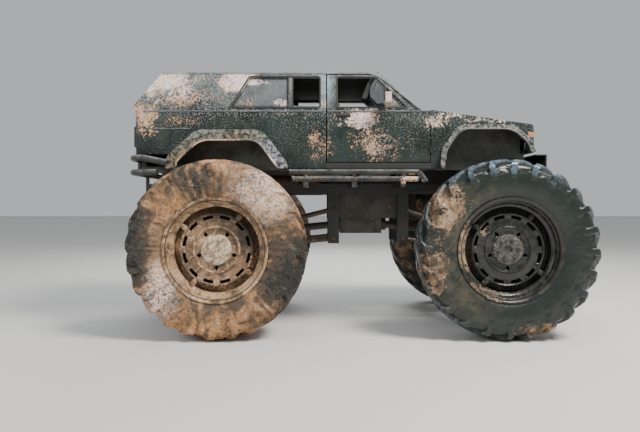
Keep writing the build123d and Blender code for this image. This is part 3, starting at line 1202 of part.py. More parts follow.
def bar_facets(half, middle):
    """Facets of one bar, of the floor behind it and of the wall under both, for one half of the tread."""
    far = middle - LUG_SWEEP

    def corner(row, turn, over=1):
        return half * over * row[0], row[1], turn

    foot = [corner(FLOOR_MIDDLE, middle + way * LUG_FOOT, -1) for way in SIDES]
    top = [corner(BAR_MIDDLE, middle + way * LUG_TOP, -1) for way in SIDES]
    far_foot = [corner(FLOOR_SHOULDER, far + way * LUG_FOOT) for way in SIDES]
    far_top = [corner(BAR_SHOULDER, far + way * LUG_TOP) for way in SIDES]
    end = [corner(BAR_END, far + way * LUG_FOOT) for way in SIDES]
    facets = [
        [foot[0], foot[1], top[1], top[0]],
        [top[0], top[1], far_top[1]],
        [top[0], far_top[1], far_top[0]],
        [far_top[0], far_top[1], end[1], end[0]],
    ]
    for way in (0, 1):
        facets.append([foot[way], far_foot[way], far_top[way]])
        facets.append([foot[way], far_top[way], top[way]])
        facets.append([far_foot[way], end[way], far_top[way]])
    next_foot = corner(FLOOR_MIDDLE, middle + 1 - LUG_FOOT, -1)
    next_far = corner(FLOOR_SHOULDER, far + 1 - LUG_FOOT)
    next_end = corner(BAR_END, far + 1 - LUG_FOOT)
    other_foot = [corner(FLOOR_MIDDLE, middle + 0.5 + way * LUG_FOOT) for way in SIDES]
    wall, next_wall = corner(WALL_ROWS[0], far), corner(WALL_ROWS[0], far + 1)
    facets += [
        [foot[1], other_foot[0], far_foot[1]],
        [other_foot[0], other_foot[1], far_foot[1]],
        [other_foot[1], next_far, far_foot[1]],
        [other_foot[1], next_foot, next_far],
        [far_foot[1], next_far, next_end, end[1]],
        [end[0], end[1], wall],
        [end[1], next_end, next_wall, wall],
    ]
    for outer, inner in zip(WALL_ROWS, WALL_ROWS[1:]):
        facets.append([corner(outer, far), corner(outer, far + 1),
                       corner(inner, far + 1), corner(inner, far)])
    return facets


def crown_facets(turn):
    """Two facets of the inside of the tread, between the walls of both halves."""
    out, radius = WALL_ROWS[-1]
    turn -= LUG_SWEEP
    return [[(out, radius, turn), (out, radius, turn + 1), (-out, radius, turn + 0.5)],
            [(out, radius, turn + 1), (-out, radius, turn + 1.5), (-out, radius, turn + 0.5)]]


def tyre_solid(centre, side):
    """The whole tyre about a centre, its bars trailing from the middle of the tread."""
    facets = []
    for number in range(LUGS):
        facets += bar_facets(1, number) + bar_facets(-1, number + 0.5) + crown_facets(number)
    x, y, z = centre
    faces = []
    for facet in facets:
        points = [(x + radius * sin(turn * PITCH), y + side * out, z + radius * cos(turn * PITCH))
                  for out, radius, turn in facet]
        faces.append(Face(Wire.make_polygon(points, close=True)))
    return Solid(Shell(faces))


for place, axle_x, side in WHEEL_PLACES:
    centre = (axle_x, side * WHEEL_Y, WHEEL_Z)
    half_plane = Plane(origin=centre, x_dir=(0, side, 0), z_dir=(1, 0, 0))
    face_plane = Plane(origin=centre, x_dir=(1, 0, 0), z_dir=(0, side, 0))
    spin = Axis(centre, (0, 1, 0))

    with BuildPart() as rim:
        revolve(outline(half_plane, [(o, r) for o, r in RIM_ROWS]), axis=spin)
        with BuildSketch(face_plane) as slots:
            with PolarLocations(SLOT_R, SLOTS):
                SlotOverall(SLOT_L, SLOT_W, rotation=90)
        extrude(slots.sketch, amount=RIM_H, mode=Mode.SUBTRACT)
    rim.part.label = f"rim_{place}"
    export_step(rim.part, f"parts/rim_{place}.step")

    with BuildPart() as tyre:
        add(tyre_solid(centre, side))
    tyre.part.label = f"tyre_{place}"
    export_step(tyre.part, f"parts/tyre_{place}.step")
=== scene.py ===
# Lifted off-road 4x4: the looks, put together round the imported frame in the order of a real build.
import math

import bmesh
import bpy
import numpy as np
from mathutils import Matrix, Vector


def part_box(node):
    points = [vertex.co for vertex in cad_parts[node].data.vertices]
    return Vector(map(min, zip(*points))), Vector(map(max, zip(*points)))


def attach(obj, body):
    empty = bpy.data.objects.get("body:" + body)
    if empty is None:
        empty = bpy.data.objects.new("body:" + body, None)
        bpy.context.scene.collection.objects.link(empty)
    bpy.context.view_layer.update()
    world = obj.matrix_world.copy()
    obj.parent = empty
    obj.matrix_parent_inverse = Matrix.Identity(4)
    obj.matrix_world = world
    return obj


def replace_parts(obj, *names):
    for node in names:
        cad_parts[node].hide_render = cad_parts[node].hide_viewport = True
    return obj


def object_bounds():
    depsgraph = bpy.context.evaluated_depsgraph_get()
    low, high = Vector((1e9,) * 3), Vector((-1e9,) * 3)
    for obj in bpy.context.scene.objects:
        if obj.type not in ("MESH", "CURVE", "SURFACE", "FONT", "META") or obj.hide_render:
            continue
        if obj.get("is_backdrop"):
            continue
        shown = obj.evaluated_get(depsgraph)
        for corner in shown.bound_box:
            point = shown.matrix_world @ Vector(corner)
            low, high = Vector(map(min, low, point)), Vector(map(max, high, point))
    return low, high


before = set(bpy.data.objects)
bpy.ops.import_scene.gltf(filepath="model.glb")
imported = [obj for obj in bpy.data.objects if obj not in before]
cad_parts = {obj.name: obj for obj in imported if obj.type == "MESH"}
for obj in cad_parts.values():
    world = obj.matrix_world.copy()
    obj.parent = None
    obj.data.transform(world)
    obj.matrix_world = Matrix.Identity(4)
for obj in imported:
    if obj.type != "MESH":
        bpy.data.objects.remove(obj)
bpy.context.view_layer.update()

# Camera: held at chest height beside the vehicle's right-hand side, level and square to it,
# about five metres from its wheels.
camera_data = bpy.data.cameras.new("camera")
camera_data.sensor_width = 36.0
camera_data.lens = 560.0 * 36.0 / 640.0
camera = bpy.data.objects.new("camera", camera_data)
camera.location = (-0.377, -6.52, 1.31)
camera.rotation_euler = (math.radians(90.0 - 1.13), 0.0, 0.0)
bpy.context.scene.collection.objects.link(camera)
bpy.context.scene.camera = camera

# Studio: a plain pale floor that fades into an even grey surround, one large soft key lamp high on the
# right of the camera, and weaker ones on the left and behind to open the shadows.
FLOOR_HALF = 60.0
floor_mesh = bpy.data.meshes.new("floor")
floor_mesh.from_pydata([(-FLOOR_HALF, -FLOOR_HALF, 0), (FLOOR_HALF, -FLOOR_HALF, 0), (FLOOR_HALF, FLOOR_HALF, 0),
                        (-FLOOR_HALF, FLOOR_HALF, 0)], [], [(0, 1, 2, 3)])
floor = bpy.data.objects.new("floor", floor_mesh)
bpy.context.scene.collection.objects.link(floor)
floor_paint = bpy.data.materials.new("floor_paint")
floor_paint.use_nodes = True
floor_paint.node_tree.nodes["Principled BSDF"].inputs["Base Color"].default_value = (0.62, 0.61, 0.59, 1)
floor_paint.node_tree.nodes["Principled BSDF"].inputs["Roughness"].default_value = 0.9
floor_mesh.materials.append(floor_paint)
floor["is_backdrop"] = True

world = bpy.data.worlds.new("studio")
world.use_nodes = True
world.node_tree.nodes["Background"].inputs["Color"].default_value = (0.93, 0.96, 1.0, 1)
world.node_tree.nodes["Background"].inputs["Strength"].default_value = 0.55
bpy.context.scene.world = world

STUDIO_LAMPS = [
    # place, aimed at, size across, watts, colour
    ((5.0, -4.8, 9.0), (0.0, 0.0, 1.2), 3.0, 1900.0, (1.0, 0.97, 0.92)),
    ((-7.0, -6.0, 4.5), (-0.5, 0.0, 1.4), 4.0, 260.0, (0.92, 0.96, 1.0)),
    ((0.0, 8.0, 7.0), (0.0, 0.0, 1.5), 5.0, 600.0, (0.95, 0.98, 1.0)),
]
for number, (place, aim, size, watts, colour) in enumerate(STUDIO_LAMPS):
    lamp_data = bpy.data.lights.new(f"lamp_{number}", "AREA")
    lamp_data.shape = "SQUARE"
    lamp_data.size = size
    lamp_data.energy = watts
    lamp_data.color = colour
    lamp = bpy.data.objects.new(f"lamp_{number}", lamp_data)
    lamp.location = place
    away = np.array(aim) - np.array(place)
    lamp.rotation_euler = (math.acos(-away[2] / np.linalg.norm(away)), 0.0, math.atan2(-away[0], away[1]))
    bpy.context.scene.collection.objects.link(lamp)


# Ladder frame: two welded box rails with cross members, painted black long ago and now under dried silt
# with wet mud thrown over it. Its shader sets up the effects that every muddy finish here shares.
class Value:
    """A shader value. Arithmetic with it makes Math nodes in its own node tree."""
    def __init__(self, socket):
        self.socket, self.tree = socket, socket.id_data

    def maths(self, operation, *values):
        made = put(self.tree, "Math", *values)
        made.operation = operation
        return Value(made.outputs[0])

    def __add__(self, other):
        return self.maths("ADD", self, other)

    def __sub__(self, other):
        return self.maths("SUBTRACT", self, other)

    def __rsub__(self, other):
        return self.maths("SUBTRACT", other, self)

    def __mul__(self, other):
        return self.maths("MULTIPLY", self, other)

    def __abs__(self):
        return self.maths("ABSOLUTE", self)

    __radd__, __rmul__ = __add__, __mul__


def feed(socket, value):
    """Link a shader value to a socket, or set a plain number, vector or colour on it."""
    if isinstance(value, Value):
        socket.id_data.links.new(value.socket, socket)
    else:
        socket.default_value = (*value, 1.0) if socket.type == "RGBA" and len(value) == 3 else value


def put(tree, kind, *ordered, **named):
    """A shader node. Ordered values feed its inputs from the first, named ones by name."""
    made = tree.nodes.new("ShaderNode" + kind)
    for socket, value in zip(made.inputs, ordered):
        feed(socket, value)
    for name, value in named.items():
        feed(made.inputs[name], value)
    return made


def most(first, second):
    """The greater of two values."""
    return second.maths("MAXIMUM", first, second)


def sine(value):
    """Its sine, from -1 to 1."""
    return value.maths("SINE", value)


def vector(operation, *values):
    """One step of vector arithmetic. A length is a value."""
    made = put(values[0].tree, "VectorMath", *values)
    made.operation = operation
    return Value(made.outputs["Value" if operation == "LENGTH" else "Vector"])


def fade(value, low, high):
    """0 below low and 1 above high with a smooth step between."""
    made = put(value.tree, "MapRange", value, low, high)
    made.interpolation_type = "SMOOTHSTEP"
    return Value(made.outputs[0])


def blended(share, first, second):
    """First colour where share is 0, second where it is 1."""
    made = put(share.tree, "Mix")
    made.data_type = "RGBA"
    for index, value in ((0, share), (6, first), (7, second)):
        feed(made.inputs[index], value)
    return Value(made.outputs[2])


def noise(place, scale, detail=4.0, rough=0.55, warp=0.0, seed=0.0):
    """Cloudy noise from 0 to 1 at a place, with a seed so that two finishes never match."""
    made = put(place.tree, "TexNoise", place, Scale=scale, Detail=detail, Roughness=rough, Distortion=warp)
    made.noise_dimensions = "4D"
    feed(made.inputs["W"], seed)
    return Value(made.outputs["Fac"])


def drops(place, scale):
    """Distance from the nearest of many scattered points."""
    return Value(put(place.tree, "TexVoronoi", place, Scale=scale).outputs["Distance"])


def axis(place, label):
    """One coordinate of a place or a direction."""
    return Value(put(place.tree, "SeparateXYZ", place).outputs[label])


def coordinates(tree, kind="Object"):
    """Place on the piece in metres, or its normal."""
    return Value(put(tree, "TexCoord").outputs[kind])


def effect(name, inputs, outputs):
    """An empty node group with named sockets. Gives the group, the values put in and the sockets that it fills."""
    group = bpy.data.node_groups.new(name, "ShaderNodeTree")
    for label, kind, value in inputs:
        group.interface.new_socket(label, in_out="INPUT", socket_type="NodeSocket" + kind).default_value = value
    for label, kind in outputs:
        group.interface.new_socket(label, in_out="OUTPUT", socket_type="NodeSocket" + kind)
    given = group.nodes.new("NodeGroupInput").outputs
    return group, {label: Value(given[label]) for label, *_ in inputs}, group.nodes.new("NodeGroupOutput").inputs


def placed(tree, group, *values):
    """An effect in a material with values of its own. Gives what it puts out."""
    made = put(tree, "Group")
    made.node_tree = group
    for socket, value in zip(made.inputs, values):
        feed(socket, value)
    return [Value(socket) for socket in made.outputs]


# Thrown mud: big ragged patches broken up by fine grains and round drops
MUD, given, taken = effect("thrown_mud", [
    ("Cover", "Float", 0.4), ("Patch", "Float", 3.0), ("Grain", "Float", 60.0), ("Seed", "Float", 0.0),
    ("Wet", "Color", (0.07, 0.04, 0.02, 1)), ("Tan", "Color", (0.40, 0.24, 0.13, 1)),
    ("Pale", "Color", (0.62, 0.52, 0.46, 1)),
], [("Mask", "Float"), ("Colour", "Color"), ("Height", "Float")])
place, grain, seed = coordinates(MUD), given["Grain"], given["Seed"]
patches = noise(place, given["Patch"], 5.0, 0.6, 0.6, seed)
grains = noise(place, grain, 3.0, 0.65, 0.0, seed)
field = patches * 0.42 + grains * 0.50 + (0.5 - drops(place, grain * 0.55)) * 0.16
edge = 0.78 - given["Cover"] * 0.56
mask = fade(field, edge, edge + 0.055)
tone = noise(place, given["Patch"] * 2.3, 6.0, 0.7, 0.8, seed + 7.3)
speck = noise(place, grain * 1.7, 2.0, 0.6, 0.0, seed)
earth = blended(fade(tone, 0.40, 0.56), given["Wet"], given["Tan"])
earth = blended(fade(tone * 0.6 + speck * 0.4, 0.545, 0.62), earth, given["Pale"])
for socket, value in zip(taken, (mask, earth, mask * (grains * 0.9 + 0.45))):
    feed(socket, value)

# A zone: 1 round a centre, fading out raggedly at a reach along each axis
ZONE, given, taken = effect("zone", [("Centre", "Vector", (0, 0, 0)), ("Reach", "Vector", (1, 1, 1))],
                            [("Mask", "Float")])
place = coordinates(ZONE)
far = vector("LENGTH", vector("DIVIDE", vector("SUBTRACT", place, given["Centre"]), given["Reach"]))
ragged = far + ((noise(place, 4.0) - 0.5) * 1.1 + (noise(place, 15.0) - 0.5) * 0.9)
feed(taken["Mask"], 1.0 - fade(ragged, 0.20, 1.15))


def mud(place, *values):
    """Thrown mud as its mask, colour and height, from its cover, patch, grain, seed and three earths."""
    return placed(place.tree, MUD, *values)


def zone(place, centre, reach):
    """Ragged mask round a centre."""
    return placed(place.tree, ZONE, centre, reach)[0]


def finish_of(name, metallic=0.0):
    """A new material with its shader and the place on the piece."""
    material = bpy.data.materials.new(name)
    material.use_nodes = True
    shader = material.node_tree.nodes["Principled BSDF"]
    shader.inputs["Metallic"].default_value = metallic
    return material, shader, coordinates(material.node_tree)


def lay(shader, colour, rough, height=None, depth=0.004, sheen_level=0.5):
    """Feed the shader's colour, roughness and bump, and set how strongly it mirrors."""
    shader.inputs["Specular IOR Level"].default_value = sheen_level
    feed(shader.inputs["Base Color"], colour)
    feed(shader.inputs["Roughness"], rough)
    if height is not None:
        bump = put(height.tree, "Bump", Height=height, Distance=depth, Strength=0.8)
        feed(shader.inputs["Normal"], Value(bump.outputs[0]))


WET_EARTH = (0.050, 0.032, 0.018)
TAN_EARTH = (0.34, 0.20, 0.105)
PALE_EARTH = (0.60, 0.47, 0.38)


def muddy_metal(name, bare, worn, cover, patch, grain, seed, metallic=0.0, silt=(0.050, 0.043, 0.032), rough=0.42):
    """Paint or metal in two tones, a film of silt that clouds it, and thrown mud on top."""
    material, shader, place = finish_of(name, metallic)
    colour = blended(noise(place, 9.0, 5.0, 0.65, 0.3, seed + 1.0), bare, worn)
    film = fade(noise(place, 5.0, 6.0, 0.7, 0.4, seed + 2.0), 0.40, 0.66)
    colour = blended(film, colour, silt)
    mask, earth, height = mud(place, cover, patch, grain, seed, WET_EARTH, TAN_EARTH, PALE_EARTH)
    colour = blended(mask, colour, earth)
    lay(shader, colour, rough + film * 0.25 + mask * 0.12, height)
    return material


def dress(node, material):
    """Give a CAD node its finish."""
    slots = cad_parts[node].data.materials
    slots.clear()
    slots.append(material)


FRAME_PAINT = muddy_metal("frame_paint", (0.008, 0.009, 0.009), (0.026, 0.026, 0.023), 0.36, 3.0, 50.0, 3.1,
                          silt=(0.024, 0.023, 0.017))
dress("frame", FRAME_PAINT)

# Steel rims: rolled from one band, with the flange and two bead ledges pressed in, and a dished disc welded
# inside. The disc has slots round its edge and hand holes, and is bolted to a thick hub plate.
RIM_SEGMENTS = 144
REAR_X, FRONT_X, WHEEL_Y, AXLE_Z = -1.37875, 1.44125, 1.0165, 0.8775
WHEELS = [
    # place, middle of the wheel, side, seed, how thickly it is caked
    ("rear_right", (REAR_X, -WHEEL_Y, AXLE_Z), -1.0, 11, 1.0),
    ("rear_left", (REAR_X, WHEEL_Y, AXLE_Z), 1.0, 12, 0.9),
    ("front_right", (FRONT_X, -WHEEL_Y, AXLE_Z), -1.0, 13, 0.30),
    ("front_left", (FRONT_X, WHEEL_Y, AXLE_Z), 1.0, 14, 0.35),
]
# Closed half section of the band in mm: (distance outwards, radius)
BAND = [(203, 508), (203, 497), (199, 490), (193, 484), (191, 474), (186, 470), (150, 467), (146, 458), (132, 453),
        (116, 447), (104, 434), (99, 418), (60, 416), (33, 416), (-60, 416), (-99, 418), (-116, 447), (-150, 466),
        (-186, 470), (-192, 484), (-200, 492), (-203, 500), (-203, 508), (-196, 508.6), (-190, 500), (-189, 483),
        (-150, 482), (-116, 480), (-95, 430), (95, 430), (116, 480), (150, 482), (189, 483), (190, 500),
        (196, 508.6)]
# Skirt and rolled edge of the dish, in mm: (distance outwards, radius)
SKIRT = [(33, 418), (40, 400), (62, 372), (80, 357), (90, 352), (94, 346), (92, 338)]
# Raised ring and hub, in mm
HUB_RING = [(84, 236), (92, 233), (103, 228), (107, 222), (104, 215), (95, 210), (86, 206)]
HUB = [(-90, 56), (-90, 104), (-84, 110), (78, 110), (84, 120), (88, 150), (104, 148), (111, 142), (113, 134),
       (113, 40), (108, 36), (96, 34), (96, 0), (90, 0), (90, 56)]
# Radii of the rings of slots, of hand holes and of studs, and how many there are round the wheel
SLOT_RING, HOLE_RING, STUD_RING = 0.318, 0.178, 0.098
SLOTS, HAND_HOLES, STUDS, CLAMPS = 12, 5, 6, 4


def skin(points, wrap_across=False, wrap_along=False, flip=False):
    """A surface through a grid of points (along, across, xyz), going round where it is wrapped. A row or column
    that comes to one point is a pole, where its cells are triangles."""
    along, across = points.shape[:2]
    index = np.arange(along * across).reshape(along, across)
    pole_rows = np.ptp(points, axis=1).max(axis=1) < 1e-9
    pole_columns = np.ptp(points, axis=0).max(axis=1) < 1e-9
    index = np.where(pole_rows[:, None], index[:, :1], index)
    index = np.where(pole_columns[None, :], index[:1], index)
    first = np.arange(along if wrap_along else along - 1)
    second = np.arange(across if wrap_across else across - 1)
    i, j = np.meshgrid(first, second, indexing="ij")
    i, j = i.ravel(), j.ravel()
    i_next, j_next = (i + 1) % along, (j + 1) % across
    quads = np.stack([index[i, j], index[i_next, j], index[i_next, j_next], index[i, j_next]], axis=1)
    quads = quads[:, ::-1] if flip else quads
    twice = quads == np.roll(quads, 1, axis=1)
    whole, cut = twice.sum(axis=1) == 0, twice.sum(axis=1) == 1
    corners = np.concatenate([quads[whole].ravel(), quads[cut][~twice[cut]]])
    used, corners = np.unique(corners, return_inverse=True)
    fours, threes = np.split(corners.ravel(), [4 * whole.sum()])
    mesh = bpy.data.meshes.new("part")
    mesh.from_pydata(points.reshape(-1, 3)[used].tolist(), [],
                     fours.reshape(-1, 4).tolist() + threes.reshape(-1, 3).tolist())
    mesh.shade_smooth()
    made = bpy.data.objects.new("part", mesh)
    bpy.context.scene.collection.objects.link(made)
    return made


def wheel_points(middle, side, outward, radius, angle):
    """Points of a wheel from distance outwards, radius and angle from the top towards the front, in metres."""
    outward, radius, angle = np.broadcast_arrays(outward, radius, angle)
    return np.stack([middle[0] + radius * np.sin(angle), middle[1] + side * outward,
                     middle[2] + radius * np.cos(angle)], axis=-1)


def spun(middle, side, section, segments=RIM_SEGMENTS, closed=False):
    """A turned surface: each (distance outwards, radius) of the section in mm goes round the wheel's axle."""
    outward, radius = np.array(section, float).T / 1000.0
    angle = np.linspace(0, 2 * math.pi, segments, endpoint=False)[:, None]
    return skin(wheel_points(middle, side, outward[None, :], radius[None, :], angle), wrap_across=closed,
                wrap_along=True, flip=side > 0)


def only(*pieces):
    """Select these pieces and no others, the first as the active one."""
    bpy.ops.object.select_all(action="DESELECT")
    for piece in pieces:
        piece.select_set(True)
    bpy.context.view_layer.objects.active = pieces[0]


def finished(name, parts, material, body, degrees=34.0):
    """Join the parts as one piece with a name, its finish, smooth shading that breaks at edges sharper than an
    angle, and the body that it rides on."""
    parts = parts if isinstance(parts, list) else [parts]
    piece = parts[0]
    only(*parts)
    if len(parts) > 1:
        bpy.ops.object.join()
    piece.name = piece.data.name = name
    piece.data.materials.clear()
    piece.data.materials.append(material)
    bpy.ops.object.shade_smooth_by_angle(angle=math.radians(degrees))
    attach(piece, body)
    return piece


def outwards(piece, flat=0.0):
    """Merge doubles, join faces that lie within an angle where one is given, and turn all the faces outwards."""
    only(piece)
    bpy.ops.object.mode_set(mode="EDIT")
    bpy.ops.mesh.select_all(action="SELECT")
    bpy.ops.mesh.remove_doubles(threshold=0.00002)
    if flat:
        bpy.ops.mesh.dissolve_limited(angle_limit=math.radians(flat))
    bpy.ops.mesh.normals_make_consistent(inside=False)
    bpy.ops.object.mode_set(mode="OBJECT")
    return piece


def thicken(piece, thickness, offset=-1.0):
    """Give a sheet its thickness."""
    wall = piece.modifiers.new("wall", "SOLIDIFY")
    wall.thickness = thickness
    wall.offset = offset
    return piece


def dish(middle, side):
    """The dish's face as a ring sheet: radius from the hub's ring to the skirt, dented slightly between, with the
    cells of the slots and of the hand holes left out."""
    radii = np.array([338, 333, 325, 318, 311, 303, 296, 280, 262, 246, 236, 206, 190, 178, 168, 158, 150, 140])
    radii = radii / 1000.0
    cells = 180
    angle = np.arange(cells) / cells * 2 * math.pi
    outward = 0.092 - 0.008 * np.sin(np.clip((radii - 0.236) / 0.10, 0, 1) * math.pi)
    outward = np.where(radii < 0.206, 0.088, outward)
    points = wheel_points(middle, side, outward[None, :], radii[None, :], angle[:, None])
    made = skin(points, wrap_along=True, flip=side < 0)
    middle_radius = (radii[:-1] + radii[1:]) / 2
    middle_angle = angle + math.pi / cells
    slot_turn = (middle_angle * SLOTS / (2 * math.pi)) % 1.0 - 0.5
    in_slot = (np.abs(slot_turn)[:, None] * 2 * math.pi / SLOTS * SLOT_RING < 0.048) & (
        np.abs(middle_radius - SLOT_RING)[None, :] < 0.0150)
    hole_turn = (middle_angle * HAND_HOLES / (2 * math.pi)) % 1.0 - 0.5
    hole_across = hole_turn[:, None] * 2 * math.pi / HAND_HOLES * HOLE_RING
    in_hole = np.hypot(hole_across, middle_radius[None, :] - HOLE_RING) < 0.021
    gone = (in_slot | in_hole).ravel()
    work = bmesh.new()
    work.from_mesh(made.data)
    work.faces.ensure_lookup_table()
    bmesh.ops.delete(work, geom=[work.faces[int(index)] for index in np.flatnonzero(gone)], context="FACES")
    work.to_mesh(made.data)
    work.free()
    return made


def capped_ends(points):
    """The rows with one more at each end, at the middle of the first or last row."""
    first, last = (np.repeat(points[end].mean(axis=0)[None, None, :], points.shape[1], axis=1) for end in (0, -1))
    return np.concatenate([first, points, last])


def turned(start, along, section, sides=40):
    """A turned piece: each (distance, radius) of the section goes round the line from start along its direction,
    point = start + direction * distance + radius * (cos turn * aside + sin turn * over), with its ends closed."""
    start, along = np.array(start, float), np.array(along, float)
    along /= np.linalg.norm(along)
    aside = np.cross(along, (0.0, 0.0, 1.0) if abs(along[2]) < 0.9 else (1.0, 0.0, 0.0))
    aside /= np.linalg.norm(aside)
    over = np.cross(along, aside)
    distance, radius = np.array([(section[0][0], 0.0), *section, (section[-1][0], 0.0)], float).T
    turn = np.linspace(0, 2 * math.pi, sides, endpoint=False)
    ring = np.cos(turn)[:, None] * aside + np.sin(turn)[:, None] * over
    points = start + along * distance[:, None, None] + ring[None, :, :] * radius[:, None, None]
    return skin(points, wrap_across=True, flip=True)


def bar(start, end, radius, sides=16, domed=0.0):
    """A closed bar from start to end, its ends rounded by domed as a share of the radius."""
    along = np.array(end, float) - np.array(start, float)
    length, bevel = np.linalg.norm(along), max(domed, 0.08) * radius
    return turned(start, along, [(0.0, radius - bevel), (bevel, radius), (length - bevel, radius),
                                 (length, radius - bevel)], sides)


def hexagon(start, end, across):
    """A hexagon nut or bolt head from start to end, across its flats, with its corners bevelled."""
    return bar(start, end, across / 2 / math.cos(math.pi / 6), sides=6, domed=0.18)


def ring_line(place, wheel_x, radius, width):
    """1 on a circle round a wheel's axle, fading out over a width on both sides."""
    away = vector("SUBTRACT", place, (wheel_x, 0.0, AXLE_Z))
    off = abs(vector("LENGTH", vector("MULTIPLY", away, (1.0, 0.0, 1.0))) - radius)
    return 1.0 - fade(off, width * 0.4, width)


def rim_metal(name, bare, worn, cover, patch, seed, earths, rough, wheel_x, painted_shadows=(), caked=()):
    """Rusty wheel paint: brown bloom over grey and mud thrown on it, thicker in the caked zones. All of it is painted
    near black as shade in the groove inside the flange and as cast shadow in the painted-shadow zones."""
    material, shader, place = finish_of(name)
    rust = fade(noise(place, 14.0, 6.0, 0.7, 0.4, seed), 0.42, 0.62)
    colour = blended(rust, bare, worn)
    for centre, reach, depth in caked:
        cover = cover + zone(place, centre, reach) * depth
    mask, earth, height = mud(place, cover, patch, 75.0, seed + 3.0, *earths)
    colour = blended(mask, colour, earth)
    # Painted shade: a near-black line in the groove inside the flange, and painted cast shadow in the zones given
    dark = ring_line(place, wheel_x, 0.4755, 0.0075) * 0.85
    for centre, reach, depth in painted_shadows:
        dark = most(dark, zone(place, centre, reach) * depth)
    colour = blended(dark, colour, (0.020, 0.015, 0.010))
    lay(shader, colour, rough + rust * 0.2, height, 0.003)
    return material


REAR_EARTHS = ((0.095, 0.058, 0.031), (0.44, 0.275, 0.150), (0.70, 0.53, 0.39))
HUB_EARTHS = ((0.23, 0.16, 0.10), (0.58, 0.44, 0.31), (0.86, 0.77, 0.68))
DULL_EARTHS = ((0.050, 0.040, 0.028), (0.26, 0.185, 0.105), (0.42, 0.34, 0.24))
GREY_EARTHS = ((0.060, 0.054, 0.044), (0.185, 0.170, 0.140), (0.38, 0.36, 0.31))
# Painted shadow zones at each rear wheel's upper right stand for the shadow that the rim's lip casts into the wheel
REAR_RIM = rim_metal("rear_rim", (0.14, 0.085, 0.05), (0.30, 0.165, 0.085), 0.72, 3.4, 21.0, REAR_EARTHS, 0.40, REAR_X,
                     painted_shadows=[((-1.14, 0.0, 1.20), (0.24, 9.0, 0.20), 0.45)])
# The well is a darker copy of the rim's paint: painted shade inside the deep barrel
REAR_WELL_SHADED = rim_metal("rear_well_shaded", (0.07, 0.045, 0.028), (0.16, 0.095, 0.055), 0.60, 3.4, 22.0, REAR_EARTHS, 0.36,
                      REAR_X, painted_shadows=[((-1.14, 0.0, 1.09), (0.34, 9.0, 0.34), 0.96),
                                      ((-1.30, 0.0, 1.25), (0.36, 9.0, 0.16), 0.90)])
REAR_DISC = rim_metal("rear_disc", (0.14, 0.085, 0.05), (0.30, 0.165, 0.085), 0.66, 3.4, 23.0, REAR_EARTHS, 0.40,
                      REAR_X, painted_shadows=[((-1.12, 0.0, 1.02), (0.17, 9.0, 0.26), 0.92),
                                      ((-1.30, 0.0, 1.22), (0.26, 9.0, 0.11), 0.88)])
FRONT_RIM = rim_metal("front_rim", (0.013, 0.015, 0.013), (0.034, 0.032, 0.026), 0.20, 2.6, 24.0, DULL_EARTHS, 0.22,
                      FRONT_X, caked=[((1.00, 0.0, 0.90), (0.24, 9.0, 0.46), 0.55),
                                      ((1.26, 0.0, 0.46), (0.30, 9.0, 0.18), 0.45)])
FRONT_DISC = rim_metal("front_disc", (0.012, 0.014, 0.012), (0.030, 0.030, 0.026), 0.20, 2.6, 25.0, DULL_EARTHS, 0.16,
                       FRONT_X, caked=[((1.20, 0.0, 1.06), (0.12, 9.0, 0.12), 0.50)])
HUB_MUD = rim_metal("hub_mud", (0.20, 0.145, 0.095), (0.38, 0.27, 0.18), 0.85, 7.0, 27.0, HUB_EARTHS, 0.45, REAR_X)
FRONT_HUB_MUD = rim_metal("front_hub_mud", (0.035, 0.034, 0.029), (0.070, 0.066, 0.055), 0.55, 7.0, 28.0, GREY_EARTHS,
                          0.34, FRONT_X)

for place, middle, side, *_ in WHEELS:
    body = f"wheel_{place}"
    rim, well, disc, plate = ((REAR_RIM, REAR_WELL_SHADED, REAR_DISC, HUB_MUD) if "rear" in place
                              else (FRONT_RIM, FRONT_DISC, FRONT_DISC, FRONT_HUB_MUD))
    steel = [outwards(spun(middle, side, BAND, closed=True))]
    skirt = thicken(spun(middle, side, SKIRT), 0.010)
    face = thicken(dish(middle, side), 0.011)
    steel.append(outwards(spun(middle, side, HUB_RING, closed=True)))
    hub = [outwards(spun(middle, side, HUB, segments=64, closed=True))]
    for stud in range(STUDS):
        turn = (stud + 0.35) * 2 * math.pi / STUDS
        inner, outer, tip = (wheel_points(middle, side, depth, STUD_RING, turn) for depth in (0.108, 0.127, 0.142))
        hub += [hexagon(inner, outer, 0.032), bar(inner, tip, 0.0095, sides=10)]
    for clamp in range(CLAMPS):
        turn = math.radians(side * 55.0) + clamp * 2 * math.pi / CLAMPS
        spots = ((0.078, 0.350), (0.105, 0.412), (0.110, 0.368), (0.132, 0.368))
        low, high, under, head = (wheel_points(middle, side, *spot, turn) for spot in spots)
        steel += [bar(low, high, 0.026, sides=8, domed=0.3), hexagon(under, head, 0.036)]
    steel = finished(f"rim_steel_{place}", steel, rim, body)
    finished(f"skirt_{place}", skirt, well, body)
    finished(f"dish_{place}", face, disc, body)
    finished(f"hub_{place}_plate", hub, plate, body)
    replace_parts(steel, f"rim_{place}")

# Brake backing plates: steel dishes pressed from one sheet and bolted to the axle ends and the knuckles, where
# they close the drums inside the rims. They are black with wet mud.
# Closed section in mm: (distance outwards, radius)
BACKING_PLATE = [(-126.5, 56), (-126.5, 300), (-106, 392), (-56, 400), (-52, 395), (-100, 382), (-119.5, 298),
                 (-119.5, 250), (-108, 242), (-108, 140), (-119.5, 130), (-119.5, 56)]
PLATE_MUD = muddy_metal("backing_plate", (0.010, 0.010, 0.009), (0.030, 0.026, 0.020), 0.36, 3.0, 40.0, 29.0)
for place, middle, side, *_ in WHEELS:
    plate = outwards(spun(middle, side, BACKING_PLATE, segments=96, closed=True))
    body = "chassis" if "rear" in place else f"knuckle_{place.split('_')[1]}"
    finished(f"backing_plate_{place}", plate, PLATE_MUD, body)

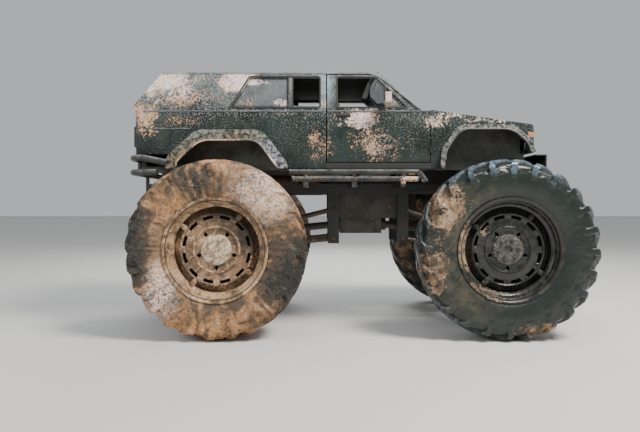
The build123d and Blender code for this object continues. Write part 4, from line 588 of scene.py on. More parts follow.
# Tyres: farm drive tyres. One moulded rubber carcass bulges between its two beads, and 24 tall bars a side run
# from the crown round the shoulder, moulded in one with it. The back pair is caked, the front pair dark and wet.
LUGS = 24
LUG_HEIGHT, LUG_SWEEP, SHOULDER = 0.042, 0.95, 0.203
# How deep mud lies between the bars, and the size that the whole tyre keeps within
FLOOR_MUD, HALF_WIDTH, BEAD_RADIUS, TYRE_RADIUS = 0.021, 0.2333, 0.483, 0.8773
# Half section of the carcass in mm: (distance outwards, radius, rows up to here, share of the bars' height here)
CARCASS = [(189.7, 483, 0, 0.0), (190, 512, 2, 0.0), (204, 540, 2, 0.0), (219, 590, 4, 0.0), (227, 650, 4, 0.0),
           (226.5, 690, 3, 0.0), (224, 722, 3, 0.42), (216, 758, 4, 0.75), (203, 795, 4, 0.95), (170, 822, 4, 1.0),
           (110, 832, 4, 1.0), (20, 836, 4, 1.0), (0, 836, 2, 1.0)]
# Phases of the columns in half a pitch: the bar's foot, flank, top and the floor after it
LUG_PHASES = np.array([-0.19, -0.13, -0.05, 0.05, 0.13, 0.19, 0.25])


def lumps(angle, across, seed, low, high, count, steep=1.0):
    """Clods that repeat round the wheel: a sum of count cosines of (whole number from low to high) times angle plus
    a wave across, each with a random phase and weighted 1 / number, brought to a spread of 1."""
    draw = np.random.default_rng(seed)
    total = np.zeros(np.broadcast(angle, across).shape)
    for number in draw.integers(low, high, count):
        total += np.cos(number * angle + draw.normal() * number * across * 1.2 + draw.uniform(0, 2 * math.pi)) / number
    total /= total.std()
    return np.sign(total) * np.abs(total) ** steep


def carcass_rows():
    """Rows of the whole section: (distance outwards, radius, bar share), from the outer bead to the inner one."""
    rows = [(CARCASS[0][0], CARCASS[0][1], CARCASS[0][3])]
    for start, end in zip(CARCASS, CARCASS[1:]):
        for step in range(1, end[2] + 1):
            share = step / end[2]
            rows.append(tuple(start[k] + (end[k] - start[k]) * share for k in (0, 1, 3)))
    rows += [(-o, r, bar) for o, r, bar in reversed(rows[:-1])]
    return np.array(rows)


def tyre_surface(middle, side, seed, caked):
    """Carcass section (o, r) spun round the axle. Each bar's centre line is at angle
    pitch * (number + half a pitch on the inner side - sweep * share of the way out to the shoulder),
    and its height falls off over its flank, at its inner end and down the sidewall. Mud then fills the floors
    by up to 20 mm, rounds the bars and lies in clods on the sidewall."""
    rows = carcass_rows()
    outward, radius, bar = (column[None, :] / scale for column, scale in zip(rows.T, (1000.0, 1000.0, 1.0)))
    slope = np.gradient(rows[:, :2] / 1000.0, axis=0)
    slope /= np.linalg.norm(slope, axis=1, keepdims=True)
    normal_out, normal_up = slope[None, :, 1], -slope[None, :, 0]
    pitch = 2 * math.pi / LUGS
    phase = (np.concatenate([LUG_PHASES, LUG_PHASES + 0.5])[None, :] + np.arange(LUGS)[:, None]).reshape(-1, 1)
    sweep = LUG_SWEEP * np.clip(np.abs(outward) / SHOULDER, 0, 1)
    angle = pitch * (phase - sweep)
    high = np.zeros(np.broadcast(phase, outward).shape)
    for half, shift in ((1.0, 0.0), (-1.0, 0.5)):
        off = np.abs((phase - shift + 0.5) % 1.0 - 0.5)
        flank = 1.0 - np.clip((off - 0.13) / 0.06, 0, 1)
        inner = np.clip((outward * half + 0.020) / 0.014, 0, 1)
        high = np.maximum(high, flank * inner * bar)
    clods = lumps(angle, outward * 6, seed, 7, 60, 70)
    fine = lumps(angle, outward * 6, seed + 50, 50, 150, 70)
    floor = np.clip(0.5 + 0.5 * clods, 0.05, 1.3) * (1 - high) * np.clip(bar * 1.6, 0, 1)
    worn = high * (1.0 - 0.09 * np.clip(np.abs(fine), 0, 1.5) * caked)
    wall = np.clip((radius - 0.545) / 0.06, 0, 1) * (1 - np.clip(bar * 1.2, 0, 1))
    coat = (0.0035 + 0.0022 * clods + 0.0016 * fine) * wall * caked
    lift = LUG_HEIGHT * worn + FLOOR_MUD * caked * floor + np.clip(coat, -0.001, 0.006)
    lift += 0.0018 * fine * caked * np.clip(bar * 1.6, 0, 1)
    out = np.clip(outward + normal_out * lift, -HALF_WIDTH, HALF_WIDTH)
    up = np.clip(radius + normal_up * lift, BEAD_RADIUS, TYRE_RADIUS)
    piece = skin(wheel_points(middle, side, out, up, angle), wrap_across=True, wrap_along=True, flip=side > 0)
    rays = np.broadcast_to(lumps(angle[:, :1], 0.0, seed + 90, 20, 110, 60), high.shape)
    for label, values in (("bar", high), ("clod", 0.5 + 0.25 * clods), ("ray", 0.5 + 0.25 * rays)):
        values = np.clip(values, 0, 1)
        piece.data.attributes.new(label, "FLOAT", "POINT").data.foreach_set("value", values.ravel())
    return piece


def attribute(place, name):
    """A value stored on the mesh's points."""
    made = put(place.tree, "Attribute")
    made.attribute_name = name
    return Value(made.outputs["Fac"])


def facing_up(place):
    """1 where the surface looks up at the sky, 0 where it is upright."""
    return fade(axis(coordinates(place.tree, "Normal"), "Z"), 0.15, 0.85)


def caked_tyre(name, seed, wheel_x):
    """Rubber under thick mud: orange where it dries, brown and near black where it is wet, and speckled with painted
    pinkish sunlight.
    """
    material, shader, place = finish_of(name)
    wet = most(zone(place, (wheel_x + 0.74, 0, 0.62), (0.42, 9, 0.58)),
               zone(place, (wheel_x - 0.16, 0, 1.52), (0.34, 9, 0.25)) * 0.50)
    wet = most(wet, zone(place, (wheel_x - 0.78, 0, 0.96), (0.22, 9, 0.72)) * 0.92)
    cover = 1.0 - wet * 0.44
    mask, earth, height = mud(place, cover, 2.6, 44.0, seed, (0.070, 0.045, 0.024), (0.43, 0.215, 0.085),
                              (0.64, 0.44, 0.32))
    brown = fade(noise(place, 2.3, 7.0, 0.70, 0.6, seed + 6.0), 0.47, 0.60)
    earth = blended(brown * 0.62, earth, (0.095, 0.066, 0.034))
    # Painted highlight: pale pink speckle where sunlight falls on the mud, strongest at the upper right
    pale = most(zone(place, (wheel_x + 0.48, 0, 1.44), (0.42, 9, 0.34)),
                zone(place, (wheel_x - 0.52, 0, 0.52), (0.24, 9, 0.34)))
    speck = fade(noise(place, 46.0, 4.0, 0.7, 0.2, seed + 3.0), 0.42, 0.56)
    earth = blended(pale * speck * 0.85, earth, (0.78, 0.64, 0.58))
    pits = fade(noise(place, 26.0, 3.0, 0.6, 0.3, seed + 4.0), 0.66, 0.72)
    earth = blended(pits * 0.8, earth, (0.045, 0.030, 0.020))
    ragged = noise(place, 5.0, 7.0, 0.72, 0.5, seed + 5.0) * 0.9 + attribute(place, "ray") * 0.45
    soak = fade(wet + ragged - 0.64, 0.04, 0.58)
    earth = blended(soak * 0.90, earth, (0.030, 0.024, 0.017))
    rubber = blended(noise(place, 14.0, 5.0, 0.6, 0.3, seed), (0.008, 0.010, 0.009), (0.030, 0.028, 0.022))
    colour = blended(mask, rubber, earth)
    gloss = 0.34 + mask * (0.12 + attribute(place, "clod") * 0.3) - soak * 0.14
    height = height + noise(place, 20.0, 8.0, 0.7, 0.3, seed) * 1.6
    lay(shader, colour, gloss, height, 0.011)
    return material


def wet_tyre(name, seed, wheel_x):
    """Wet black-green rubber with a painted blue sky reflection on its bars, and brown mud on its rear side."""
    material, shader, place = finish_of(name)
    rubber = blended(noise(place, 6.0, 5.0, 0.6, 0.5, seed), (0.005, 0.009, 0.007), (0.018, 0.026, 0.021))
    # Painted reflection: blue sky colour on the tops of the bars and across the tyre's upper part
    crown = zone(place, (wheel_x + 0.05, 0, 1.72), (0.95, 9, 0.26)) * 0.85
    sky = fade(attribute(place, "bar"), 0.20, 0.60) * most(facing_up(place), crown)
    sky = sky * fade(noise(place, 26.0, 6.0, 0.72, 0.2, seed), 0.34, 0.58)
    rubber = blended(sky * 0.80, rubber, (0.16, 0.215, 0.29))
    near = most(zone(place, (wheel_x - 0.60, 0, 1.28), (0.36, 9, 0.38)),
                zone(place, (wheel_x - 0.72, 0, 0.72), (0.26, 9, 0.48)))
    near = most(near, zone(place, (wheel_x + 0.30, 0, 0.12), (0.50, 9, 0.16)) * 0.9)
    cover = 0.10 + near * 0.62
    mask, earth, height = mud(place, cover, 3.4, 62.0, seed, (0.070, 0.046, 0.026), (0.30, 0.18, 0.10),
                              (0.50, 0.38, 0.30))
    washed = fade(noise(place, 7.0, 8.0, 0.75, 0.4, seed + 2.0), 0.40, 0.66)
    washed = zone(place, (wheel_x - 0.50, 0, 0.80), (0.62, 9, 0.90)) * washed
    rubber = blended(washed * 0.60, rubber, (0.115, 0.090, 0.055))
    colour = blended(mask, rubber, earth)
    gloss = 0.17 + noise(place, 11.0, 4.0, 0.6, 0.0, seed) * 0.22 + mask * 0.25
    height = height + noise(place, 17.0, 8.0, 0.65, 0.2, seed) * 0.9
    lay(shader, colour, gloss, height, 0.007)
    return material


REAR_TYRE = caked_tyre("rear_tyre_mud", 21.0, REAR_X)
FRONT_TYRE = wet_tyre("front_tyre_wet", 22.0, FRONT_X)
for place, middle, side, seed, caked in WHEELS:
    tyre = tyre_surface(middle, side, seed, caked)
    rubber = REAR_TYRE if "rear" in place else FRONT_TYRE
    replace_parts(finished(f"tyre_{place}_bars", tyre, rubber, f"wheel_{place}", 50.0), f"tyre_{place}")

# Axles: cast differential housings with round tubes pressed in, a cover bolted on where each faces away from its
# drive shaft, and spring perches welded on. The forks and knuckles at the front are castings too, all muddy.
AXLE_PAINT = muddy_metal("axle_paint", (0.012, 0.012, 0.012), (0.05, 0.040, 0.032), 0.44, 3.6, 46.0, 5.2)
BOLT_STEEL = muddy_metal("bolt_steel", (0.16, 0.15, 0.14), (0.12, 0.075, 0.045), 0.30, 9.0, 90.0, 6.1, metallic=0.85)
for node in ("axle_front", "axle_rear", "knuckle_left", "knuckle_right"):
    dress(node, AXLE_PAINT)

COVER_DOME = [(0.0, 0.113), (0.047, 0.1135), (0.051, 0.110), (0.052, 0.094), (0.058, 0.080), (0.062, 0.050)]
COVER_BOLTS, COVER_RING = 10, 0.102
# Axle, its x, and the way that its cover faces
for place, axle_x, facing in (("rear", REAR_X, -1.0), ("front", FRONT_X, 1.0)):
    cover = [turned((axle_x + facing * 0.150, 0, AXLE_Z), (facing, 0, 0), COVER_DOME)]
    for turn in (np.arange(COVER_BOLTS) + 0.5) * 2 * math.pi / COVER_BOLTS:
        spot = np.array((axle_x + facing * 0.199, COVER_RING * math.sin(turn), AXLE_Z + COVER_RING * math.cos(turn)))
        cover.append(hexagon(spot, spot + (facing * 0.011, 0, 0), 0.018))
    spot = np.array((axle_x + facing * 0.208, 0.0, AXLE_Z + 0.050))
    cover.append(hexagon(spot, spot + (facing * 0.012, 0, 0), 0.024))
    finished(f"diff_cover_{place}", cover, AXLE_PAINT, "chassis")

# Tie rod: a drawn steel tube in front of the axle that couples the two knuckles. A forged eye at each end turns
# on the pin of a knuckle's arm under a nut, and two clamps lock it on its thread.
dress("tie_rod", BOLT_STEEL)
rod_low, rod_high = (np.array(corner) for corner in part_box("tie_rod"))
rod_x, _, rod_z = (rod_low + rod_high) / 2
CLAMP_BAND = [(0, 0.029), (0.003, 0.031), (0.019, 0.031), (0.022, 0.029)]
ends = []
for side in (-1.0, 1.0):
    ends += [turned((rod_x, side * y, rod_z), (0, side, 0), CLAMP_BAND, sides=24) for y in (0.600, 0.565)]
    spot = np.array((rod_x, side * 0.740, rod_high[2] - 0.004))
    ends.append(hexagon(spot, spot + (0, 0, 0.016), 0.030))
finished("tie_rod_fittings", ends, BOLT_STEEL, "tie_rod")

# Links: eight tubular control arms, two over each other on both sides of each axle. Each end is a rubber-bushed
# eye screwed into the tube with a lock nut, and a through bolt holds it in its bracket.
LINK_PAINT = muddy_metal("link_paint", (0.028, 0.026, 0.025), (0.10, 0.066, 0.042), 0.46, 4.2, 55.0, 8.4)
dress("links", LINK_PAINT)
LINK_ENDS = [
    # x and z of the eye at the axle, x and z of the eye at the frame
    ((-1.26875, 0.8375), (-0.22875, 0.940)), ((-1.26875, 1.0025), (-0.22875, 1.260)),
    ((1.33125, 0.8375), (0.53125, 0.940)), ((1.33125, 1.0025), (0.53125, 1.260)),
]
LINK_Y = 0.350
LOCK_NUT = [(0, 0.027), (0.004, 0.031), (0.020, 0.031), (0.024, 0.026)]
WELD_BEAD = [(0, 0.0255), (0.005, 0.0285), (0.010, 0.0255)]
fixings = []
for ends in LINK_ENDS:
    for side in (-1.0, 1.0):
        for (x, z), (far_x, far_z) in (ends, ends[::-1]):
            along = np.array((far_x - x, 0.0, far_z - z))
            along /= np.linalg.norm(along)
            eye = np.array((x, side * LINK_Y, z))
            fixings += [hexagon(eye + (0, side * 0.040, 0), eye + (0, side * 0.054, 0), 0.036),
                        turned(eye + along * 0.050, along, LOCK_NUT, sides=6),
                        turned(eye + along * 0.104, along, WELD_BEAD, sides=20)]
finished("link_fixings", fixings, BOLT_STEEL, "chassis")

# Coil-over shocks: a coil spring round a gas-filled body with a bright rod, held between the axle and a tower
# on the frame, and preloaded by two collars that are screwed along the body
SPRING_PAINT = muddy_metal("spring_paint", (0.10, 0.085, 0.06), (0.16, 0.085, 0.045), 0.52, 5.0, 60.0, 9.2)
SHOCK_BODY = muddy_metal("shock_body", (0.20, 0.19, 0.18), (0.11, 0.085, 0.06), 0.40, 5.0, 60.0, 9.9, metallic=0.7)


def coil(foot, length, radius, wire, turns, steps=30, sides=10):
    """A coil spring standing on foot: centre = foot + rise * up + radius * (cos, sin)(turn), with the pitch closing
    up over the last turn at each end, and a round wire carried along it square to the helix."""
    turn = np.linspace(0, 2 * math.pi * turns, int(turns * steps) + 1)
    share = turn / turn[-1]
    rise = wire + (length - 2 * wire) * (0.5 - 0.5 * np.cos(np.clip((share - 0.03) / 0.94, 0, 1) * math.pi) * 0.12
                                         + (np.clip((share - 0.06) / 0.88, 0, 1) - 0.5) * 0.88)
    outward = np.stack([np.cos(turn), np.sin(turn), np.zeros_like(turn)], axis=1)
    centre = np.array(foot) + outward * radius
    centre[:, 2] += rise
    ring = np.linspace(0, 2 * math.pi, sides, endpoint=False)
    points = centre[:, None, :] + wire * (np.cos(ring)[None, :, None] * outward[:, None, :]
                                          + np.sin(ring)[None, :, None] * np.array((0, 0, 1.0)))
    capped = np.concatenate([np.repeat(centre[:1, None, :], sides, axis=1), points,
                             np.repeat(centre[-1:, None, :], sides, axis=1)])
    return skin(capped, wrap_across=True)


SHOCK_LOW, SHOCK_HIGH = (corner[2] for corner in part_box("shocks"))
SHOCK_LENGTH, SHOCK_Y = SHOCK_HIGH - SHOCK_LOW, 0.480
# Spring seat, rod, body, collars and top cap: height over the foot, sides, (distance, radius)
SHOCK_STACK = [
    (0, 40, [(0, 0.030), (0.05, 0.030), (0.062, 0.052), (0.074, 0.060), (0.082, 0.060), (0.084, 0.020)]),
    (0.06, 20, [(0, 0.0125), (0.20, 0.0125)]),
    (0.20, 40, [(0, 0.020), (0.004, 0.034), (0.012, 0.036), (0.20, 0.036), (0.30, 0.036),
                (SHOCK_LENGTH - 0.205, 0.034)]),
    (SHOCK_LENGTH - 0.085, 24, [(0, 0.036), (0.002, 0.056), (0.012, 0.060), (0.018, 0.060), (0.020, 0.048),
                                (0.026, 0.052), (0.036, 0.052), (0.038, 0.036)]),
    (SHOCK_LENGTH - 0.045, 40, [(0, 0.034), (0.010, 0.030), (0.044, 0.030)]),
]
SIDES = ((-1.0, "right"), (1.0, "left"))
for place, axle_x in (("rear", REAR_X), ("front", FRONT_X)):
    for side, hand in SIDES:
        foot = np.array((axle_x, side * SHOCK_Y, SHOCK_LOW))
        body = [turned(foot + (0, 0, height), (0, 0, 1), section, sides) for height, sides, section in SHOCK_STACK]
        spring = coil(foot + (0, 0, 0.080), SHOCK_LENGTH - 0.165, 0.0500, 0.0085, 9.0)
        finished(f"spring_{place}_{hand}", spring, SPRING_PAINT, "chassis", 60.0)
        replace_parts(finished(f"shock_{place}_{hand}", body, SHOCK_BODY, "chassis"), "shocks")

# Engine: an iron block and heads with pressed rocker covers, a round air cleaner on top, and grooved pulleys
# bolted to its front. All of it is oily, dusty and splashed.
ENGINE_IRON = muddy_metal("engine_iron", (0.035, 0.034, 0.033), (0.10, 0.080, 0.062), 0.34, 4.4, 60.0, 12.1)
COVER_PAINT = muddy_metal("rocker_cover", (0.020, 0.021, 0.022), (0.075, 0.070, 0.062), 0.32, 4.4, 70.0, 12.6,
                          rough=0.34)
dress("engine", ENGINE_IRON)
engine_low, engine_high = (np.array(corner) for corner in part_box("engine"))


def block(low, high, radius, sides=8):
    """A block with all its edges rounded: along x, stations at (x, inset) follow a quarter circle at each end, and each
    station is a rounded rectangle of the block's section drawn in by the inset."""
    low, high = np.sort([low, high], axis=0).astype(float)
    quarter = np.linspace(0, math.pi / 2, 5)
    inset = np.concatenate([radius * (1 - np.sin(quarter)), radius * (1 - np.sin(quarter))[::-1]])
    stations = np.concatenate([low[0] + radius * (1 - np.cos(quarter)), high[0] - radius * (1 - np.cos(quarter))[::-1]])
    steps = sides // 2 + 1
    turn = np.concatenate([np.linspace(0, math.pi / 2, steps) + corner * math.pi / 2 for corner in range(4)])
    middle, half = (low + high) / 2, (high - low) / 2
    corner = np.maximum(radius - inset, 0.0002)[:, None]
    y = middle[1] + np.repeat([1, -1, -1, 1], steps) * (half[1] - radius) + corner * np.cos(turn)
    z = middle[2] + np.repeat([1, 1, -1, -1], steps) * (half[2] - radius) + corner * np.sin(turn)
    points = np.stack([np.broadcast_to(stations[:, None], y.shape), y, z], axis=-1)
    return outwards(skin(capped_ends(points), wrap_across=True))


parts = []
for side in (-1.0, 1.0):
    low = (engine_low[0] + 0.07, side * 0.15 - 0.062, engine_high[2] - 0.03)
    high = (engine_high[0] - 0.07, side * 0.15 + 0.062, engine_high[2] + 0.052)
    parts.append(block(low, high, 0.018))
    for bolt in range(4):
        spot = np.array((low[0] + 0.05 + bolt * (high[0] - low[0] - 0.10) / 3, side * 0.15, high[2] - 0.002))
        parts.append(hexagon(spot, spot + (0, 0, 0.012), 0.018))
centre = np.array(((engine_low[0] + engine_high[0]) / 2 - 0.04, 0.0, engine_high[2] - 0.01))
AIR_CLEANER = [(0.0, 0.060), (0.030, 0.062), (0.036, 0.110), (0.040, 0.128), (0.092, 0.128), (0.097, 0.122),
               (0.102, 0.030), (0.112, 0.012)]
parts.append(turned(centre, (0, 0, 1), AIR_CLEANER))
finished("engine_covers", parts, COVER_PAINT, "chassis")
pulleys = []
for y, z, radius in ((0.0, 1.66, 0.080), (0.0, 1.90, 0.070), (0.15, 1.84, 0.040), (-0.15, 1.78, 0.052)):
    groove = [(0, radius - 0.004), (0.012, radius - 0.004), (0.014, radius), (0.018, radius - 0.007),
              (0.028, radius - 0.007), (0.032, radius), (0.034, radius - 0.010), (0.024, radius * 0.6),
              (0.030, radius * 0.25)]
    pulleys.append(turned((engine_high[0] - 0.004, y, z), (1, 0, 0), groove))
finished("engine_pulleys", pulleys, BOLT_STEEL, "chassis")

# Under the body: a cast gearbox with its transfer case, tube drive shafts, a finned radiator, a welded tank and a
# rusty exhaust. They are bolted to the frame or hung from it, under the same wet silt.
GEARBOX_CAST = muddy_metal("gearbox_cast", (0.055, 0.054, 0.052), (0.10, 0.085, 0.065), 0.44, 3.8, 52.0, 13.0,
                           rough=0.5)
SHAFT_PAINT = muddy_metal("shaft_paint", (0.02, 0.02, 0.02), (0.09, 0.058, 0.036), 0.40, 4.5, 60.0, 13.8)
TANK_STEEL = muddy_metal("tank_steel", (0.05, 0.045, 0.040), (0.13, 0.090, 0.060), 0.50, 3.2, 48.0, 14.4)
EXHAUST_RUST = muddy_metal("exhaust_rust", (0.11, 0.060, 0.032), (0.20, 0.100, 0.050), 0.34, 5.0, 70.0, 15.2,
                           rough=0.62)
RADIATOR_CORE = muddy_metal("radiator_core", (0.010, 0.010, 0.010), (0.035, 0.033, 0.030), 0.28, 5.0, 80.0, 15.7)
for node, material in (("gearbox", GEARBOX_CAST), ("driveshafts", SHAFT_PAINT), ("fuel_tank", TANK_STEEL),
                       ("exhaust", EXHAUST_RUST), ("radiator", RADIATOR_CORE)):
    dress(node, material)

ribs = []
radiator_low, radiator_high = (np.array(corner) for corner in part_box("radiator"))
for z in np.linspace(radiator_low[2] + 0.05, radiator_high[2] - 0.05, 22):
    start = np.array((radiator_high[0] + 0.001, radiator_low[1] + 0.02, z))
    ribs.append(bar(start, start + (0, radiator_high[1] - radiator_low[1] - 0.04, 0), 0.0028, sides=6))
finished("radiator_fins", ribs, BOLT_STEEL, "chassis")

sump_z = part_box("gearbox")[0][2]
bolts = [hexagon((x, y, sump_z + 0.002), (x, y, sump_z + 0.0005), 0.020)
         for x in np.linspace(-0.100, 0.270, 6) for y in (-0.118, 0.118)]
finished("case_bolts", bolts, BOLT_STEEL, "chassis")

# Body: steel panels welded up round a floor pan, painted dark blue-green long ago. Its paint is chalky, filmed
# with silt that ran down in streaks, and struck by mud in patches that carry painted pinkish and pale sunlight from
# the top, with painted glints in fine specks and painted sky light on what faces up.
MUD_STRIKES = [
    # centre (x, y, z), reach on each axis, how thick, how much painted pale sunlight
    ((-1.98, -0.80, 2.62), (0.56, 0.80, 0.32), 1.08, 1.00),
    ((-1.19, -0.80, 2.60), (0.30, 0.55, 0.26), 1.40, 1.00),
    ((-1.76, -0.80, 2.44), (0.58, 0.90, 0.22), 0.82, 0.28),
    ((-1.55, -0.70, 2.62), (0.50, 0.60, 0.14), 0.60, 0.60),
    ((-2.05, 0.75, 2.50), (0.42, 0.60, 0.34), 0.95, 0.80),
    ((-1.42, 0.80, 2.56), (0.36, 0.50, 0.20), 0.90, 0.70),
    ((-2.22, 0.05, 2.30), (0.20, 0.50, 0.22), 0.75, 0.55),
    ((-2.16, 0.0, 2.18), (0.28, 9.0, 0.34), 0.76, 0.32),
    ((-1.78, 0.0, 2.16), (0.52, 9.0, 0.13), 0.58, 0.10),
    ((-1.72, 0.0, 1.84), (0.16, 9.0, 0.20), 0.50, 0.20),
    ((0.02, -0.8, 2.20), (0.36, 0.9, 0.18), 0.92, 0.80),
    ((-0.37, -0.8, 1.91), (0.25, 0.9, 0.32), 0.66, 0.16),
    ((0.19, -0.8, 1.91), (0.40, 0.9, 0.32), 0.76, 0.30),
    ((0.77, -0.8, 2.15), (0.25, 0.5, 0.14), 0.88, 0.75),
    ((0.95, -0.6, 2.235), (0.50, 0.7, 0.075), 0.62, 0.70),
    ((1.20, 0.70, 2.10), (0.50, 0.50, 0.16), 0.72, 0.60),
    ((1.40, -0.6, 2.175), (0.45, 0.7, 0.070), 0.70, 0.75),
    ((-0.90, 0.0, 2.24), (0.90, 9.0, 0.05), 0.45, 0.50),
    ((0.10, 0.8, 1.85), (0.60, 0.9, 0.24), 0.85, 0.55),
    ((-0.62, 0.8, 2.10), (0.60, 0.9, 0.20), 0.62, 0.40),
    ((0.52, 0.0, 1.92), (0.18, 9.0, 0.24), 0.48, 0.20),
    ((-2.30, 0.0, 2.00), (0.14, 0.9, 0.34), 0.80, 0.55),
    ((1.85, 0.0, 1.95), (0.14, 1.0, 0.22), 0.60, 0.35),
    ((-0.33, 0.0, 2.34), (0.12, 9.0, 0.08), 0.70, 0.60),
]
DEEP_PAINT = (0.005, 0.011, 0.009)
CHALKY_PAINT = (0.019, 0.032, 0.029)
BODY_SILT = (0.060, 0.068, 0.050)
UPPER_SILT = (0.150, 0.185, 0.195)
DUST_AND_SKYLIGHT = (0.31, 0.32, 0.37)
LIP_TAN, LIP_GREY, LIP_HIGHLIGHT = (0.30, 0.225, 0.145), (0.31, 0.295, 0.26), (0.40, 0.39, 0.46)
PILLAR_DUST = (0.29, 0.42, 0.48)
SUNLIT_PINK = (0.90, 0.78, 0.75)
GLINT_SPECKS = (0.42, 0.41, 0.40)


def strikes(place, table):
    """Two masks from a table of strikes: how thick the mud is, and how much painted pale sunlight lies on it."""
    thick, pale = 0.0, 0.0
    for centre, reach, depth, light in table:
        mask = zone(place, centre, reach)
        thick = most(thick, mask * depth)
        pale = most(pale, mask * light)
    return thick, pale


def streaks(place, seed):
    """Upright runs where dirty water dried: noise drawn out along z."""
    stretched = Value(put(place.tree, "Mapping", place, Scale=(16.0, 16.0, 1.6)).outputs[0])
    return fade(noise(stretched, 1.0, 5.0, 0.62, 0.0, seed), 0.44, 0.66)


def body_paint(name, deep, chalky, table, base_cover, seed, sky=0.85, rough=0.30, flares=0.0):
    """Old paint in two tones, streaked silt, pale dust and painted sky light on what faces up, painted glints in
    fine specks, and thrown mud by the table of strikes with painted pale pink sunlight on it.
    """
    material, shader, place = finish_of(name)
    colour = blended(fade(noise(place, 2.4, 6.0, 0.62, 0.5, seed), 0.36, 0.66), deep, chalky)
    film = fade(noise(place, 3.4, 8.0, 0.72, 0.6, seed + 1.0), 0.42, 0.64)
    runs = streaks(place, seed + 2.0)
    upper = fade(axis(place, "Z"), 2.00, 2.60)
    film = most(film, runs * 0.7) * (0.24 + upper * 0.46)
    colour = blended(film, colour, blended(upper, BODY_SILT, UPPER_SILT))
    # The flares' outer faces: dried grey and tan silt, with a painted lavender highlight on the rear arch's front leg
    beside = abs(axis(place, "Y"))
    lip = fade(beside, 0.822, 0.834) * fade(noise(place, 21.0, 8.0, 0.80, 0.4, seed + 7.0), 0.43, 0.57)
    dried = blended(zone(place, (-0.84, 0.0, 1.84), (0.22, 9.0, 0.26)), LIP_GREY, LIP_HIGHLIGHT)
    tanned = most(zone(place, (-1.84, 0.0, 1.80), (0.26, 9.0, 0.24)),
                  zone(place, (-1.20, 0.0, 2.00), (0.24, 9.0, 0.12)))
    dried = blended(tanned, dried, LIP_TAN)
    colour = blended(lip * flares, colour, dried)
    chalk = fade(noise(place, 18.0, 8.0, 0.75, 0.3, seed + 8.0), 0.32, 0.56)
    chalk = zone(place, (-0.34, 0.0, 2.52), (0.13, 9.0, 0.26)) * chalk
    colour = blended(chalk * 0.75, colour, PILLAR_DUST)
    # Pale dust with painted sky light, blue-grey, on what faces up
    dust = facing_up(place) * fade(noise(place, 12.0, 8.0, 0.75, 0.3, seed + 3.0), 0.38, 0.60)
    colour = blended(dust * sky, colour, DUST_AND_SKYLIGHT)
    thick, pale = strikes(place, table)
    # Painted glints: fine pale specks that stand for sunlight glinting on wet mud, more of them high up and fewer low
    # down
    glints = noise(place, 85.0, 3.0, 0.7, 0.0, seed + 4.0) + upper * 0.075
    glints = fade(glints, 0.575, 0.635) * fade(noise(place, 2.6, 5.0, 0.7, 0.4, seed + 5.0), 0.34, 0.56)
    low_parts = fade(axis(place, "Z"), 2.10, 1.86)
    glints = glints * (0.80 - low_parts * 0.45)
    colour = blended(glints, colour, GLINT_SPECKS)
    cover = base_cover + thick * 0.54
    mask, earth, height = mud(place, cover, 3.2, 76.0, seed, (0.080, 0.048, 0.022), (0.47, 0.245, 0.090),
                              (0.64, 0.40, 0.235))
    # Painted sunlight: pale pink flecks on the mud, as strong as the strikes' table gives
    fleck = fade(noise(place, 44.0, 6.0, 0.75, 0.3, seed + 6.0), 0.34, 0.56)
    earth = blended(pale * fleck * 0.9, earth, SUNLIT_PINK)
    colour = blended(mask, colour, earth)
    gloss = rough + most(film, dust) * 0.30 + mask * 0.22
    height = height + noise(place, 34.0, 6.0, 0.7, 0.2, seed) * 0.30
    lay(shader, colour, gloss, height, 0.005, sheen_level=0.32)
    return material


BODY_PAINT = body_paint("body_paint", DEEP_PAINT, CHALKY_PAINT, MUD_STRIKES, 0.24, 40.0, flares=0.85)


def panel(node, material, body, width=0.004):
    """Replace a body panel's CAD node with a copy whose triangles are merged into whole faces and whose sharp edges
    are rolled over."""
    made = bpy.data.objects.new(f"{node}_panel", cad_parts[node].data.copy())
    made.data.name = made.name
    bpy.context.scene.collection.objects.link(made)
    only(made)
    if made.data.has_custom_normals:
        bpy.ops.mesh.customdata_custom_splitnormals_clear()
    outwards(made, flat=0.6)
    edge = made.modifiers.new("rolled_edges", "BEVEL")
    edge.width = width
    edge.segments = 2
    edge.limit_method = "ANGLE"
    edge.angle_limit = math.radians(30.0)
    edge.use_clamp_overlap = True
    bpy.ops.object.modifier_apply(modifier="rolled_edges")
    made.data.shade_smooth()
    made.modifiers.new("even_normals", "WEIGHTED_NORMAL").keep_sharp = True
    made.data.materials.clear()
    made.data.materials.append(material)
    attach(made, body)
    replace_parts(made, node)


UNDERSEAL = muddy_metal("underseal", (0.046, 0.054, 0.043), (0.110, 0.112, 0.085), 0.38, 2.6, 44.0, 41.0, rough=0.55)
# The rockers, out past the wheelhouses, stay nearly black
under_tree = UNDERSEAL.node_tree
under_paint = under_tree.nodes["Principled BSDF"].inputs["Base Color"]
rocker = fade(abs(axis(coordinates(under_tree), "Y")), 0.715, 0.745) * 0.8
feed(under_paint, blended(rocker, Value(under_paint.links[0].from_socket), (0.007, 0.008, 0.007)))
dress("body_tub", UNDERSEAL)
for node in ("quarter_right", "quarter_left", "topper", "cab_roof", "fender_right", "fender_left"):
    panel(node, BODY_PAINT, "chassis")
for node in ("hood", "door_right", "door_left", "tailgate"):
    panel(node, BODY_PAINT, node)

